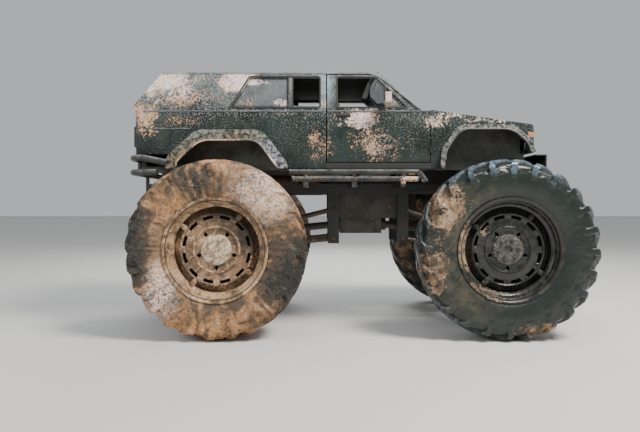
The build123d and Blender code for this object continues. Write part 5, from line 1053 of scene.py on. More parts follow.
# Body seams and trim: spot-welded drip rails over the doors, pressed belt mouldings, the pinch weld under the
# rockers and rolled arch edges. Pale silt has dried along each of these ledges, and the drip rails are painted
# pale as a sky highlight along the roof's edge, so they read as light lines.
def carried(path, profile, square, closed=False):
    """A closed profile carried along a flat path: point = path + u * aside + v * square, where square is the path's
    normal and aside = direction x square, slid along the run onto the mitre plane at each corner."""
    path, square = np.array(path, float), np.array(square, float)
    square /= np.linalg.norm(square)
    ahead = np.roll(path, -1, 0) - path
    if not closed:
        ahead[-1] = ahead[-2]
    ahead /= np.linalg.norm(ahead, axis=1, keepdims=True)
    behind = np.roll(ahead, 1, 0)
    if not closed:
        behind[0] = ahead[0]
    mitre = ahead + behind
    mitre /= np.linalg.norm(mitre, axis=1, keepdims=True)
    aside = np.cross(ahead, square)
    u, v = np.array(profile, float).T
    offset = u[None, :, None] * aside[:, None, :] + v[None, :, None] * square
    slide = (offset * mitre[:, None, :]).sum(-1, keepdims=True) / (ahead * mitre).sum(-1)[:, None, None]
    points = path[:, None, :] + offset - ahead[:, None, :] * slide
    return outwards(skin(points if closed else capped_ends(points), wrap_across=True, wrap_along=closed))


def eased(points, radius, closed=False, steps=5):
    """A path whose corners are cut back by radius and eased: (1-t)^2 * start + 2t(1-t) * corner + t^2 * end."""
    points = np.array(points, float)
    before, after = np.roll(points, 1, 0) - points, np.roll(points, -1, 0) - points
    far_before, far_after = (np.linalg.norm(leg, axis=1, keepdims=True) for leg in (before, after))
    start = points + before / far_before * np.minimum(radius, far_before * 0.45)
    end = points + after / far_after * np.minimum(radius, far_after * 0.45)
    t = np.linspace(0, 1, steps)[None, :, None]
    curve = (1 - t) ** 2 * start[:, None] + 2 * t * (1 - t) * points[:, None] + t ** 2 * end[:, None]
    if closed:
        return curve.reshape(-1, points.shape[1])
    return np.concatenate([points[:1], curve[1:-1].reshape(-1, points.shape[1]), points[-1:]])


def oval(half_width, half_height, sides=12):
    """A flattened round profile."""
    turn = np.linspace(0, 2 * math.pi, sides, endpoint=False)
    return np.stack([half_width * np.cos(turn), half_height * np.sin(turn)], axis=1)


def side_y(z, side):
    """How far out the body's side is at height z, below or above the belt."""
    return side * np.interp(z, [1.680, 1.860, 2.272, 2.680], [0.790, 0.815, 0.808, 0.722])


def on_plane(x, points):
    """Points (y, z) laid on an upright plane across the vehicle."""
    y, z = np.array(points, float).T
    return np.stack([np.broadcast_to(x, y.shape), y, z], axis=1)


def on_side(points, side, proud=0.0):
    """Points (x, z) of the side view laid on the body's side, standing proud of it."""
    x, z = np.array(points, float).T
    return np.stack([x, side_y(z, side) + side * proud, z], axis=1)


# The ways that the windscreen and the back window face, and x and z of a point at the foot of each
SCREEN_FACING, BACK_FACING = (0.433, 0, 0.460), (-0.350, 0, 0.264)
SCREEN_FOOT, BACK_FOOT = (0.66125, 2.272), (-2.25875, 2.330)


def screen_x(z):
    """X of the windscreen's slope at height z."""
    return SCREEN_FOOT[0] - (z - SCREEN_FOOT[1]) * SCREEN_FACING[2] / SCREEN_FACING[0]


def back_x(z):
    """X of the back window's slope at height z."""
    return BACK_FOOT[0] - (z - BACK_FOOT[1]) * BACK_FACING[2] / BACK_FACING[0]


GLAZED_SLOPE = np.array((0.0, 0.408, 0.086)) / math.hypot(0.408, 0.086)
# Heights of the belt, of the side windows' lower edge and of the rockers' pinch weld
BELT_Z, SILL_Z, WELD_Z = 2.262, 2.300, 1.6725
DUSTY_TRIM = body_paint("dusty_trim", (0.055, 0.062, 0.066), (0.15, 0.155, 0.165), [], 0.30, 44.0, sky=0.9, rough=0.34)
# The drip rails' pale blue-grey is dust and a painted sky highlight along the roof's edge
RAIL_DUST_AND_SHEEN = body_paint("rail_dust_and_sheen", (0.42, 0.47, 0.48), (0.74, 0.78, 0.78), [], 0.30, 43.0, sky=0.95, rough=0.34)
BLACK_RUBBER = muddy_metal("black_rubber", (0.008, 0.008, 0.008), (0.022, 0.022, 0.021), 0.26, 4.0, 80.0, 45.0,
                           rough=0.5)
DARK_PLASTIC = muddy_metal("dark_plastic", (0.014, 0.014, 0.014), (0.035, 0.034, 0.033), 0.24, 4.0, 80.0, 46.0,
                           rough=0.38)

seams, rails = [], []
for side, _ in SIDES:
    slope, out = GLAZED_SLOPE * (1, side, 1), (0, side, 0)
    for z, forward, proud, end, profile in ((2.6665, 0.196, 0.004, -0.006, oval(0.0055, 0.0095)),
                                            (2.6735, 0.204, 0.012, 0.003, oval(0.0026, 0.0065, 8))):
        rail = eased([(-2.000, z), (forward, z), (screen_x(SILL_Z) + end, SILL_Z)], 0.10)
        rails.append(carried(on_side(rail, side, proud), profile, slope))
    for path, profile, square in (
            (on_side([(-2.170, BELT_Z), (-0.322, BELT_Z)], side, 0.002), oval(0.0070, 0.0055), out),
            (on_side([(-2.175, 2.086), (-1.690, 2.086)], side, 0.0005), oval(0.0060, 0.0050), out),
            ([(x, side * 0.762, WELD_Z) for x in (-0.800, 0.720)], oval(0.0100, 0.0030, 8), out),
            (on_side([(-0.650, 2.3115), (-0.388, 2.3115)], side, -0.012), oval(0.0080, 0.0120), slope)):
        seams.append(carried(path, profile, square))
finished("body_seams", seams, DUSTY_TRIM, "chassis", 60.0)
finished("drip_rails", rails, RAIL_DUST_AND_SHEEN, "chassis", 60.0)

ARCH_EDGES = [
    # axle x, corners of the opening from the axle
    (REAR_X, [(-0.459, 1.700), (-0.454, 1.754), (-0.212, 1.968), (0.364, 1.968), (0.566, 1.698)]),
    (FRONT_X, [(-0.549, 1.770), (-0.541, 1.866), (-0.386, 2.081), (0.129, 2.081), (0.288, 1.946), (0.322, 1.852)]),
]
ARCH_Y = 0.8425
# The arch edges carry painted pale sunlight where their strikes give it, brightest on the rear arch's front leg
ARCH_DUST = body_paint("arch_dust", (0.050, 0.050, 0.048), (0.17, 0.165, 0.17), [
    ((-0.78, 0.0, 1.85), (0.22, 9.0, 0.30), 0.95, 0.9), ((-1.45, 0.0, 1.98), (0.50, 9.0, 0.12), 0.8, 0.35),
    ((-1.86, 0.0, 1.80), (0.16, 9.0, 0.20), 0.8, 0.3)], 0.34, 47.0, sky=0.9)
edges = []
for axle_x, corners in ARCH_EDGES:
    for side, _ in SIDES:
        x, z = eased([(axle_x + x, z) for x, z in corners], 0.090, steps=7).T
        path = np.stack([x, np.full(len(x), side * ARCH_Y), z], axis=1)
        edges.append(carried(path, oval(0.0095, 0.0080), (0, side, 0)))
finished("arch_edges", edges, ARCH_DUST, "chassis", 60.0)

# Weather strips: moulded rubber round the quarter windows, the windscreen and the back window, beside the sliding
# panes and in the seam between roof and topper. They are pushed onto the metal's edge and dusted over.
strips = []
for side, _ in SIDES:
    slope = GLAZED_SLOPE * (1, side, 1)
    quarter = eased([(-1.296, SILL_Z), (-1.100, 2.630), (-0.374, 2.630), (-0.374, SILL_Z)], 0.030, closed=True)
    strips.append(carried(on_side(quarter, side, 0.001), oval(0.0100, 0.0060), slope, closed=True))
    for x in (-0.6995, -0.6580):
        strips.append(carried(on_side([(x, 2.312), (x, 2.618)], side, 0.0005), oval(0.0045, 0.0045), slope))
seam_y = np.linspace(-0.700, 0.700, 25)
seam = on_plane(-0.34375, np.stack([seam_y, 2.6805 + 0.0230 * (1 - (seam_y / 0.722) ** 2)], axis=1))
strips.append(carried(seam, oval(0.0010, 0.0070, 8), (1, 0, 0)))
screen = eased([(-0.735, 2.292), (-0.655, 2.662), (0.655, 2.662), (0.735, 2.292)], 0.05, closed=True)
strips.append(carried(on_plane(screen_x(screen[:, 1]) - 0.002, screen), oval(0.0085, 0.0045), SCREEN_FACING,
                      closed=True))
back = eased([(-0.568, 2.362), (-0.568, 2.633), (0.568, 2.633), (0.568, 2.362)], 0.045, closed=True)
strips.append(carried(on_plane(back_x(back[:, 1]) - 0.001, back), oval(0.0100, 0.0050), BACK_FACING, closed=True))
finished("weather_strips", strips, BLACK_RUBBER, "chassis", 60.0)

# Door furniture: rubber round the window and the vent pane, a belt moulding, a pull-up handle in its scoop and
# a key barrel, all on the door so that they swing with it
for side, hand in SIDES:
    body, slope = f"door_{hand}", GLAZED_SLOPE * (1, side, 1)
    slant = screen_x(2.620) - 0.069 * 1.459
    window = eased([(-0.206, 2.302), (-0.206, 2.627), (slant + 0.001, 2.627), (0.5175, 2.302)], 0.022, closed=True)
    vent_bar = on_side([(0.28925, 2.306), (0.28925, 2.536)], side, 0.001)
    rubber = [carried(on_side(window, side, 0.001), oval(0.0085, 0.0055), slope, closed=True),
              carried(vent_bar, oval(0.0075, 0.0060), slope)]
    finished(f"window_rubber_{body}", rubber, BLACK_RUBBER, body, 60.0)
    moulding = carried(on_side([(-0.294, BELT_Z), (0.736, BELT_Z)], side, 0.002), oval(0.0070, 0.0055), (0, side, 0))
    finished(f"belt_{body}", moulding, DUSTY_TRIM, body, 60.0)
    wall = side_y(2.221, side)
    handle = [block((-0.214, wall - side * 0.003, 2.199), (-0.066, wall + side * 0.004, 2.243), 0.0034),
              block((-0.204, wall + side * 0.001, 2.212), (-0.080, wall + side * 0.016, 2.233), 0.0070),
              turned((-0.245, wall - side * 0.002, 2.221), (0, side, 0),
                     [(0.0, 0.012), (0.006, 0.012), (0.008, 0.010), (0.0065, 0.0088), (0.0065, 0.001)], 24)]
    finished(f"door_handle_{body}", handle, DARK_PLASTIC, body)

# Roof latches: on each side two short steel studs with moulded rubber caps, screwed into the roof, that hold
# down the topper's front edge
RUBBER_STUD = [(0.0, 0.012), (0.012, 0.012), (0.015, 0.017), (0.021, 0.0165), (0.0235, 0.012)]
studs = [turned((x, side * 0.600, 2.680), (0, 0, 1), RUBBER_STUD, 20) for x in (-0.574, -0.516) for side, _ in SIDES]
finished("roof_studs", studs, BLACK_RUBBER, "chassis")

# Wipers: two arms of pressed steel, each on a spindle through the cowl, with rubber blades in metal clips that
# lie on the windscreen
wipers = []
for pivot_y, tip_y in ((-0.42, 0.02), (0.16, 0.60)):
    arm_y = pivot_y + (tip_y - pivot_y) * np.array([0.0, 0.35, 0.82, 0.95])
    arm_z = 2.290 + np.array([0.030, 0.10, 0.24, 0.27]) * 0.45
    blade_y, blade_z = tip_y + np.array([-0.34, 0.05]), 2.290 + np.array([0.035, 0.235])
    for y, z, proud, profile in ((arm_y, arm_z, 0.014, oval(0.0060, 0.0030, 8)),
                                 (blade_y, blade_z, 0.007, oval(0.0045, 0.0060, 8))):
        wipers.append(carried(on_plane(screen_x(z) + proud, np.stack([y, z], axis=1)), profile, SCREEN_FACING))
    wipers.append(turned((0.648, pivot_y, 2.276), (0.30, 0, 1), [(0, 0.017), (0.016, 0.017), (0.022, 0.012)], 20))
finished("wipers", wipers, DARK_PLASTIC, "chassis")

# Front end: a pressed grille panel in body colour, sealed-beam head lamps in plated bezels, and amber marker
# lamps moulded round the fender corners. The tail lamps screwed to the back corners are plastic in three parts.
dress("grille_panel", BODY_PAINT)
PLATED = muddy_metal("plated_bezel", (0.50, 0.51, 0.53), (0.30, 0.28, 0.26), 0.34, 6.0, 80.0, 50.0, metallic=1.0,
                     rough=0.16)
REFLECTOR, shader, place = finish_of("lamp_reflector", 1.0)
shine = noise(place, 22.0, 3.0, 0.5, 0.0, 51.0)
lay(shader, blended(shine, (0.62, 0.63, 0.65), (0.80, 0.81, 0.83)), 0.06 + shine * 0.10)


def clear_glass(name, tint, seed, rough=0.03, dirt=0.12, ribs=0.0):
    """Glass or clear plastic, smeared with dirt in its roughness and tint, and ribbed across where ribs is given."""
    material, shader, place = finish_of(name)
    smear = fade(noise(place, 7.0, 6.0, 0.7, 0.5, seed), 0.45, 0.70)
    colour = blended(smear, tint, tuple(channel * 0.62 for channel in tint))
    height = noise(place, 3.0, 2.0, 0.5, 0.0, seed)
    if ribs:
        height += sine(axis(place, "Z") * ribs) * 0.5
    lay(shader, colour, rough + smear * dirt, height, 0.0010)
    shader.inputs["Transmission Weight"].default_value = 1.0
    shader.inputs["IOR"].default_value = 1.46
    return material


LAMP_GLASS = clear_glass("lamp_glass", (0.92, 0.93, 0.92), 52.0, ribs=420.0)
RED_LENS = body_paint("red_lens", (0.30, 0.018, 0.012), (0.42, 0.040, 0.026), [], 0.42, 54.0, sky=0.3, rough=0.14)
CLEAR_LENS = body_paint("reversing_lens", (0.46, 0.45, 0.42), (0.60, 0.58, 0.54), [], 0.40, 55.0, sky=0.3, rough=0.16)
HEAD_LAMP_Y, LAMP_Z, TAIL_LAMP_Y = 0.535, 1.951, 0.700
LAMP_BOWL = [(0.0, 0.010), (0.004, 0.030), (0.014, 0.048), (0.028, 0.059), (0.034, 0.062), (0.036, 0.060),
             (0.030, 0.055), (0.016, 0.044), (0.006, 0.026), (0.003, 0.006)]


def frame_round(x, middle, half, radius, profile):
    """A rim round a rectangle on an upright plane across the vehicle, from the middle and half size in y and z."""
    corners = [(middle[0] + y * half[0], middle[1] + z * half[1]) for y, z in ((-1, -1), (-1, 1), (1, 1), (1, -1))]
    return carried(on_plane(x, eased(corners, radius, closed=True)), profile, (1, 0, 0), closed=True)


for side, hand in SIDES:
    y = side * HEAD_LAMP_Y
    bulb = [(0.0, 0.009), (0.014, 0.009), (0.022, 0.006), (0.026, 0.002)]
    bright = [turned((1.7730, y, LAMP_Z), (1, 0, 0), LAMP_BOWL), turned((1.776, y, LAMP_Z), (1, 0, 0), bulb, 20)]
    finished(f"reflector_{hand}", bright, REFLECTOR, "chassis")
    lens = block((1.8100, y - 0.088, LAMP_Z - 0.058), (1.8225, y + 0.088, LAMP_Z + 0.058), 0.005)
    finished(f"lamp_lens_{hand}", lens, LAMP_GLASS, "chassis")
    pan = block((1.7715, y - 0.092, LAMP_Z - 0.062), (1.7780, y + 0.092, LAMP_Z + 0.062), 0.003)
    bezel = frame_round(1.8235, (y, LAMP_Z), (0.090, 0.060), 0.018, oval(0.0075, 0.0060))
    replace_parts(finished(f"lamp_bezel_{hand}", [bezel, pan], PLATED, "chassis"), "lamps")
    y = side * TAIL_LAMP_Y
    for part, low_z, high_z, material in (("upper", 2.010, 2.113, RED_LENS), ("middle", 1.960, 2.008, CLEAR_LENS),
                                          ("lower", 1.907, 1.958, RED_LENS)):
        lens = block((-2.2920, y - 0.0385, low_z), (-2.2660, y + 0.0385, high_z), 0.007)
        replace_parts(finished(f"tail_{part}_{hand}", lens, material, "chassis"), "lamps")
    rim = frame_round(-2.2810, (y, 2.010), (0.0385, 0.1035), 0.012, oval(0.0030, 0.0100))
    finished(f"tail_rim_{hand}", rim, DARK_PLASTIC, "chassis")


# The fender's corner: its middle, its radius, and how far a lens is let into it at its rim
CORNER_X, CORNER_Y, CORNER_RADIUS, LET_IN = 1.72125, 0.701, 0.110, 0.002


def corner_patch(side, low_turn, high_turn, low_z, high_z, proud):
    """A lens wrapped round the fender's corner: point = corner's middle + (radius + proud) * (sin turn, side * cos
    turn), crowned towards its middle and let into the panel at its rim."""
    turn, rise = np.meshgrid(np.linspace(low_turn, high_turn, 19), np.linspace(0, 1, 13), indexing="ij")
    share = (turn - low_turn) / (high_turn - low_turn)
    crown = np.clip(np.minimum(share, 1 - share) * 9, 0, 1) * np.clip(np.minimum(rise, 1 - rise) * 6, 0, 1)
    reach = CORNER_RADIUS - LET_IN + (proud + LET_IN) * np.sqrt(crown)
    x = CORNER_X + reach * np.sin(turn)
    y = side * (CORNER_Y + reach * np.cos(turn))
    return thicken(skin(np.stack([x, y, low_z + rise * (high_z - low_z)], axis=-1), flip=side > 0), 0.0025)


for side, hand in SIDES:
    rim = corner_patch(side, 0.02, 1.16, 1.984, 2.066, 0.0045)
    finished(f"marker_rim_{hand}", rim, DARK_PLASTIC, "chassis", 60.0)
    glow = corner_patch(side, 0.10, 1.08, 1.994, 2.056, 0.0085)
    amber = body_paint(f"marker_amber_{hand}", (0.40, 0.17, 0.05), (0.52, 0.26, 0.10), [], 0.44, 56.0 + side, sky=0.4,
                       rough=0.16)
    finished(f"marker_lens_{hand}", glow, amber, "chassis", 60.0)

# Hood: a pressed steel panel, stiffened by two strakes that run from the cowl to the nose. Two plastic washer
# jets are clipped into its back edge.
HOOD_FALL, HOOD_LENGTH = 0.150, 1.055
x = np.array([0.800, 1.740])
z = 2.2795 - (x - 0.73625) * HOOD_FALL / HOOD_LENGTH
paths = [np.stack([x, side * np.array([0.380, 0.340]), z], axis=1) for side, _ in SIDES]
strakes = [carried(path, oval(0.022, 0.0055, 16), (HOOD_FALL, 0, HOOD_LENGTH)) for path in paths]
finished("hood_strakes", strakes, BODY_PAINT, "hood", 60.0)
NOZZLE = [(0.0, 0.011), (0.010, 0.011), (0.014, 0.006)]
jets = [turned((0.800, side * 0.250, 2.268), (0, 0, 1), NOZZLE, 18) for side, _ in SIDES]
finished("washer_jets", jets, DARK_PLASTIC, "hood")

# Tailgate: a pressed steel panel with a raised edge round the place for a plate. The plastic pull handle over it
# is screwed on from inside.
handle = [block((-2.2765, -0.110, 2.150), (-2.2700, 0.110, 2.196), 0.003),
          block((-2.2920, -0.085, 2.162), (-2.2740, 0.085, 2.184), 0.008)]
finished("tailgate_handle", handle, DARK_PLASTIC, "tailgate")
recess = frame_round(-2.2735, (0.0, 2.005), (0.270, 0.075), 0.030, oval(0.0100, 0.0050))
finished("plate_recess_edge", recess, BODY_PAINT, "tailgate", 60.0)

# Glass: laminated windscreen, toughened side and back panes. They are grey with a film of mud, thickest along
# their lower edges and where it was thrown, and each film lies on the outside of its pane.
SMOKED_GLASS = clear_glass("smoked_glass", (0.16, 0.19, 0.19), 61.0, rough=0.03, dirt=0.12)
for node in ("vent_glass_right", "vent_glass_left", "fixed_glass"):
    dress(node, SMOKED_GLASS)


def mud_film(name, seed, table, base, haze):
    """Dried mud on glass: a thin haze all over, denser in runs, and opaque splashes by the table of strikes, with
    painted pale pink sunlight on them.
    """
    material, shader, place = finish_of(name)
    thick, pale = strikes(place, table)
    mask, earth, height = mud(place, base + thick * 0.52, 3.6, 64.0, seed,
                              (0.085, 0.070, 0.052), (0.34, 0.24, 0.16), (0.50, 0.45, 0.42))
    # Painted sunlight: pale pink where the strikes' table gives it
    earth = blended(pale * 0.75, earth, SUNLIT_PINK)
    colour = blended(mask, (0.20, 0.215, 0.225), earth)
    cloud = fade(noise(place, 6.0, 7.0, 0.7, 0.6, seed + 1.0), 0.30, 0.70)
    veil = haze * (0.45 + most(cloud, streaks(place, seed)) * 0.75)
    lay(shader, colour, 0.55 + mask * 0.25, height, 0.003)
    feed(shader.inputs["Alpha"], most(veil, mask))
    return material


def film_sheet(name, corners, material, body, toward):
    """A thin skin of mud between four corners: point = the corners weighted by (1-u)(1-v), u(1-v), uv and (1-u)v."""
    corners = np.array(corners, float)
    u, v = (grid[..., None] for grid in np.meshgrid(np.linspace(0, 1, 25), np.linspace(0, 1, 13), indexing="ij"))
    points = corners[0] * (1 - u) * (1 - v) + corners[1] * u * (1 - v) + corners[2] * u * v + corners[3] * (1 - u) * v
    facing = np.dot(np.cross(corners[1] - corners[0], corners[3] - corners[0]), toward)
    piece = thicken(skin(points, flip=bool(facing < 0)), 0.0004, offset=1.0)
    piece.name = piece.data.name = name
    piece.data.materials.append(material)
    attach(piece, body)


QUARTER_FILM = mud_film("quarter_film", 62.0, [
    ((-1.00, 0.0, 2.58), (0.22, 9.0, 0.07), 0.75, 0.9), ((-0.78, 0.0, 2.36), (0.16, 9.0, 0.10), 0.80, 0.8),
    ((-1.10, 0.0, 2.36), (0.20, 9.0, 0.09), 0.55, 0.2), ((-0.80, 0.0, 2.50), (0.14, 9.0, 0.12), 0.55, 0.4)], 0.30, 0.55)
VENT_FILM = mud_film("vent_film", 63.0, [((0.36, 0.0, 2.36), (0.16, 9.0, 0.10), 0.55, 0.5)], 0.30, 0.62)
SCREEN_FILM = mud_film("screen_film", 64.0, [
    ((0.60, 0.0, 2.33), (0.20, 0.8, 0.07), 0.60, 0.3), ((0.45, -0.40, 2.50), (0.20, 0.26, 0.14), 0.45, 0.5),
], 0.24, 0.30)
BACK_FILM = mud_film("back_film", 65.0, [
    ((-2.20, 0.0, 2.39), (0.20, 0.7, 0.08), 0.75, 0.5), ((-2.10, 0.30, 2.52), (0.20, 0.30, 0.12), 0.60, 0.6),
], 0.34, 0.50)
# How far the outside of each pane lies from the surface that on_side, screen_x or back_x gives
SIDE_PANE, SCREEN_PANE, BACK_PANE = -0.0185, -0.0100, 0.0235
for side, hand in SIDES:
    pane = on_side([(-1.270, 2.314), (-0.706, 2.314), (-0.706, 2.617), (-1.085, 2.617)], side, SIDE_PANE)
    film_sheet(f"quarter_film_{hand}", pane, QUARTER_FILM, "chassis", (0, side, 0))
    pane = on_side([(0.301, 2.313), (0.505, 2.313), (0.300, 2.508), (0.299, 2.508)], side, SIDE_PANE)
    film_sheet(f"vent_film_{hand}", pane, VENT_FILM, f"door_{hand}", (0, side, 0))
pane = np.array([(-0.715, 2.300), (0.715, 2.300), (0.640, 2.655), (-0.640, 2.655)])
film_sheet("screen_film", on_plane(screen_x(pane[:, 1]) + SCREEN_PANE, pane), SCREEN_FILM, "chassis", (1, 0, 0.5))
pane = np.array([(-0.556, 2.372), (0.556, 2.372), (0.556, 2.623), (-0.556, 2.623)])
film_sheet("back_film", on_plane(back_x(pane[:, 1]) + BACK_PANE, pane), BACK_FILM, "chassis", (-1, 0, 0.5))

# Door mirrors: moulded shells on short stalks that are screwed to the doors, caked with mud that carries painted
# pale sunlight, with a silvered glass let into the back of each
MIRROR_MUD = body_paint("mirror_mud", (0.030, 0.030, 0.030), (0.08, 0.075, 0.07), [
    ((0.30, 0.0, 2.37), (0.20, 9.0, 0.14), 0.85, 0.75)], 0.40, 66.0)
MIRROR_GLASS, shader, place = finish_of("mirror_glass", 1.0)
smear = fade(noise(place, 18.0, 5.0, 0.7, 0.3, 67.0), 0.42, 0.66)
lay(shader, blended(smear, (0.70, 0.72, 0.74), (0.34, 0.31, 0.28)), 0.04 + smear * 0.5)
for side, hand in SIDES:
    panel(f"mirror_{hand}", MIRROR_MUD, f"door_{hand}", width=0.003)
    y = side * 0.905
    glass = block((0.2690, y - 0.062, 2.333), (0.2722, y + 0.062, 2.417), 0.0015)
    finished(f"mirror_glass_{hand}", glass, MIRROR_GLASS, f"door_{hand}")

# Bumpers and step bars: a folded plate bumper in front with cut tow eyes, and bent tube welded up behind and
# under the doors. The tubes are grey where they are worn bright and where pale dust and painted sky light lie on
# top, and tan where mud has dried, with painted pale sunlight in patches.
BAR_PAINT = body_paint("bar_paint", (0.013, 0.014, 0.013), (0.060, 0.060, 0.052), [
    ((-0.30, 0.0, 1.60), (0.90, 9.0, 0.06), 0.40, 0.25), ((0.55, 0.0, 1.56), (0.20, 9.0, 0.08), 0.70, 0.5),
], 0.30, 70.0, sky=0.45)
BUMPER_PAINT = body_paint("bumper_paint", (0.012, 0.012, 0.012), (0.045, 0.043, 0.040), [], 0.36, 71.0, sky=0.8)
dress("step_bars", BAR_PAINT)
dress("bumper_rear", BAR_PAINT)
panel("bumper_front", BUMPER_PAINT, "chassis")
bolts = [hexagon((2.0005, side * y, z), (2.0125, side * y, z), 0.024)
         for side, _ in SIDES for y in (0.270, 0.390) for z in (1.720, 1.785)]
finished("bumper_bolts", bolts, BOLT_STEEL, "chassis")

# Cab: ribbed rubber mats lie on the floor, and each door has a dark trim card with its arm rest, pocket and
# window crank. The cards and the headlining are vinyl over board, held by clips, and dusty.
def trim_vinyl(name, first, second, seed, rough=0.5, grain=420.0, dust=0.4):
    """Grained vinyl: fine cells in its bump, a soft change of tone, and pale dust in patches."""
    material, shader, place = finish_of(name)
    colour = blended(noise(place, 5.0, 4.0, 0.6, 0.3, seed), first, second)
    worn = fade(noise(place, 3.0, 7.0, 0.72, 0.5, seed + 1.0), 0.46, 0.72)
    colour = blended(worn * dust, colour, (0.16, 0.135, 0.105))
    lay(shader, colour, rough + worn * 0.25, drops(place, grain), 0.0006)
    return material


CARD_VINYL = trim_vinyl("card_vinyl", (0.014, 0.014, 0.014), (0.026, 0.025, 0.024), 80.0)
HEADLINING = trim_vinyl("headlining", (0.018, 0.018, 0.018), (0.030, 0.029, 0.028), 81.0, rough=0.8, grain=240.0,
                        dust=0.2)
MAT_RUBBER = trim_vinyl("mat_rubber", (0.010, 0.010, 0.010), (0.020, 0.019, 0.018), 82.0, rough=0.6, grain=160.0,
                        dust=0.8)


def lining(ends, rise, low, high, across):
    """A lining that follows the inside of the roof: z falls from its middle line with the square of y."""
    x, y = np.meshgrid(np.linspace(*ends, 15), np.linspace(-across, across, 21), indexing="ij")
    points = np.stack([x, y, low + (high - low) * (1 - (y / across) ** 2)], axis=-1)
    return thicken(skin(points, flip=rise), 0.004, offset=0.0)


finished("headlining", lining((-1.900, 0.150), False, 2.6480, 2.6700, 0.640), HEADLINING, "chassis", 60.0)
FLOOR_Z, MAT_Z, SEAT_Y = 1.7052, 1.7120, 0.370
mats = []
for y in (-SEAT_Y, SEAT_Y):
    mats.append(block((0.170, y - 0.280, FLOOR_Z), (0.600, y + 0.280, MAT_Z), 0.0032))
    mats += [bar((x, y - 0.250, MAT_Z), (x, y + 0.250, MAT_Z), 0.0035, sides=8) for x in 0.200 + np.arange(9) * 0.045]
finished("floor_mats", mats, MAT_RUBBER, "chassis")

for side, hand in SIDES:
    inward = (0, -side, 0)
    handle_foot = (0.250, side * 0.716, 1.975)
    card = [block((-0.285, side * 0.7515, 1.780), (0.620, side * 0.7360, 2.225), 0.006),
            block((-0.180, side * 0.7400, 2.010), (0.220, side * 0.6900, 2.060), 0.016),
            block((-0.120, side * 0.7400, 1.805), (0.420, side * 0.7120, 1.915), 0.012),
            turned((0.300, side * 0.738, 2.060), inward, [(0, 0.020), (0.018, 0.018), (0.024, 0.012)], 20),
            bar((0.300, side * 0.718, 2.060), (0.250, side * 0.712, 1.975), 0.007, sides=12),
            turned(handle_foot, inward, [(0, 0.008), (0.006, 0.012), (0.028, 0.011), (0.032, 0.007)], 18)]
    finished(f"door_card_{hand}", card, CARD_VINYL, f"door_{hand}")

# Dashboard: a padded vinyl crash pad over a moulded fascia, with a hooded instrument cluster, round vents, a
# radio and heater panel with bare knobs, and a glove box lid. The steering wheel's rim is moulded on too.
dress("dashboard", CARD_VINYL)


def dial_paint(name, scale, seed, first, second, rough):
    """Paint of two close tones, a little uneven in its gloss."""
    material, shader, place = finish_of(name)
    lay(shader, blended(noise(place, scale, 2.0, 0.5, 0.0, seed), first, second),
        rough + noise(place, 30.0, 3.0, 0.6, 0.0, seed + 1.0) * 0.2)
    return material


DIAL_FACE = dial_paint("dial_face", 60.0, 83.0, (0.008, 0.008, 0.009), (0.018, 0.018, 0.019), 0.2)
DIAL_MARKS = dial_paint("dial_marks", 80.0, 85.0, (0.70, 0.68, 0.62), (0.52, 0.50, 0.45), 0.4)
FASCIA_X = 0.48125
# Crash pad, cluster hood, glove box lid, radio and heater panel: from the fascia's x, y and z to the same, radius
PADS = [((-0.020, -0.700, 2.215), (0.150, 0.700, 2.258), 0.016),
        ((-0.050, 0.200, 2.222), (0.120, 0.540, 2.280), 0.022),
        ((-0.006, -0.620, 2.050), (0.004, -0.240, 2.170), 0.0048),
        ((-0.008, -0.110, 2.120), (0.004, 0.090, 2.170), 0.004),
        ((-0.006, -0.110, 2.050), (0.004, 0.090, 2.105), 0.004)]
fascia = np.array((FASCIA_X, 0, 0))
pad = [block(fascia + low, fascia + high, radius) for low, high, radius in PADS]
for y, z in ((-0.660, 2.190), (-0.160, 2.192), (0.140, 2.192), (0.640, 2.190)):
    vent = [(0.0, 0.016), (0.0, 0.021), (0.004, 0.024), (0.012, 0.024)]
    pad.append(turned((FASCIA_X - 0.010, y, z), (1, 0, 0), vent, 24))
for y, z in ((-0.095, 2.145), (0.075, 2.145), (-0.080, 2.077), (-0.010, 2.077), (0.060, 2.077)):
    pad.append(turned((FASCIA_X - 0.004, y, z), (-1, 0, 0), [(0, 0.011), (0.012, 0.010), (0.015, 0.007)], 18))
finished("dash_fittings", pad, CARD_VINYL, "chassis", 50.0)
faces, marks = [], []
for number, (y, radius) in enumerate(((0.285, 0.034), (0.370, 0.042), (0.455, 0.034))):
    centre = np.array((FASCIA_X - 0.001, y, 2.168))
    rim = [(0.0, radius), (0.004, radius), (0.0045, radius - 0.003), (0.002, radius - 0.004)]
    faces.append(turned(centre, (-1, 0, 0), rim, 36))
    # Nine ticks and a needle: its turn, where it starts and ends, how far it stands off, its radius
    lines = [(math.radians(-120 + tick * 30), radius - 0.012, radius - 0.006, 0.0025, 0.0008) for tick in range(9)]
    for turn, start, end, off, thick in [*lines, (number - 1.4, 0.0, radius - 0.008, 0.0032, 0.0010)]:
        spoke = np.array((0.0, -math.sin(turn), math.cos(turn)))
        marks.append(bar(centre + spoke * start - (off, 0, 0), centre + spoke * end - (off, 0, 0), thick, sides=6))
finished("dial_faces", faces, DIAL_FACE, "chassis")
finished("dial_marks", marks, DIAL_MARKS, "chassis")
WHEEL_GRIP = trim_vinyl("wheel_grip", (0.012, 0.012, 0.012), (0.022, 0.021, 0.020), 87.0, rough=0.36, grain=600.0,
                        dust=0.3)
dress("steering_wheel", WHEEL_GRIP)

# Seats: steel pans on pedestals carry foam pads covered in grey-brown woven cloth, sewn in flutes. The foam
# pushes each cover out between its seams, and all of them are dusty and splashed.
THREADS = 2400.0  # radians a metre


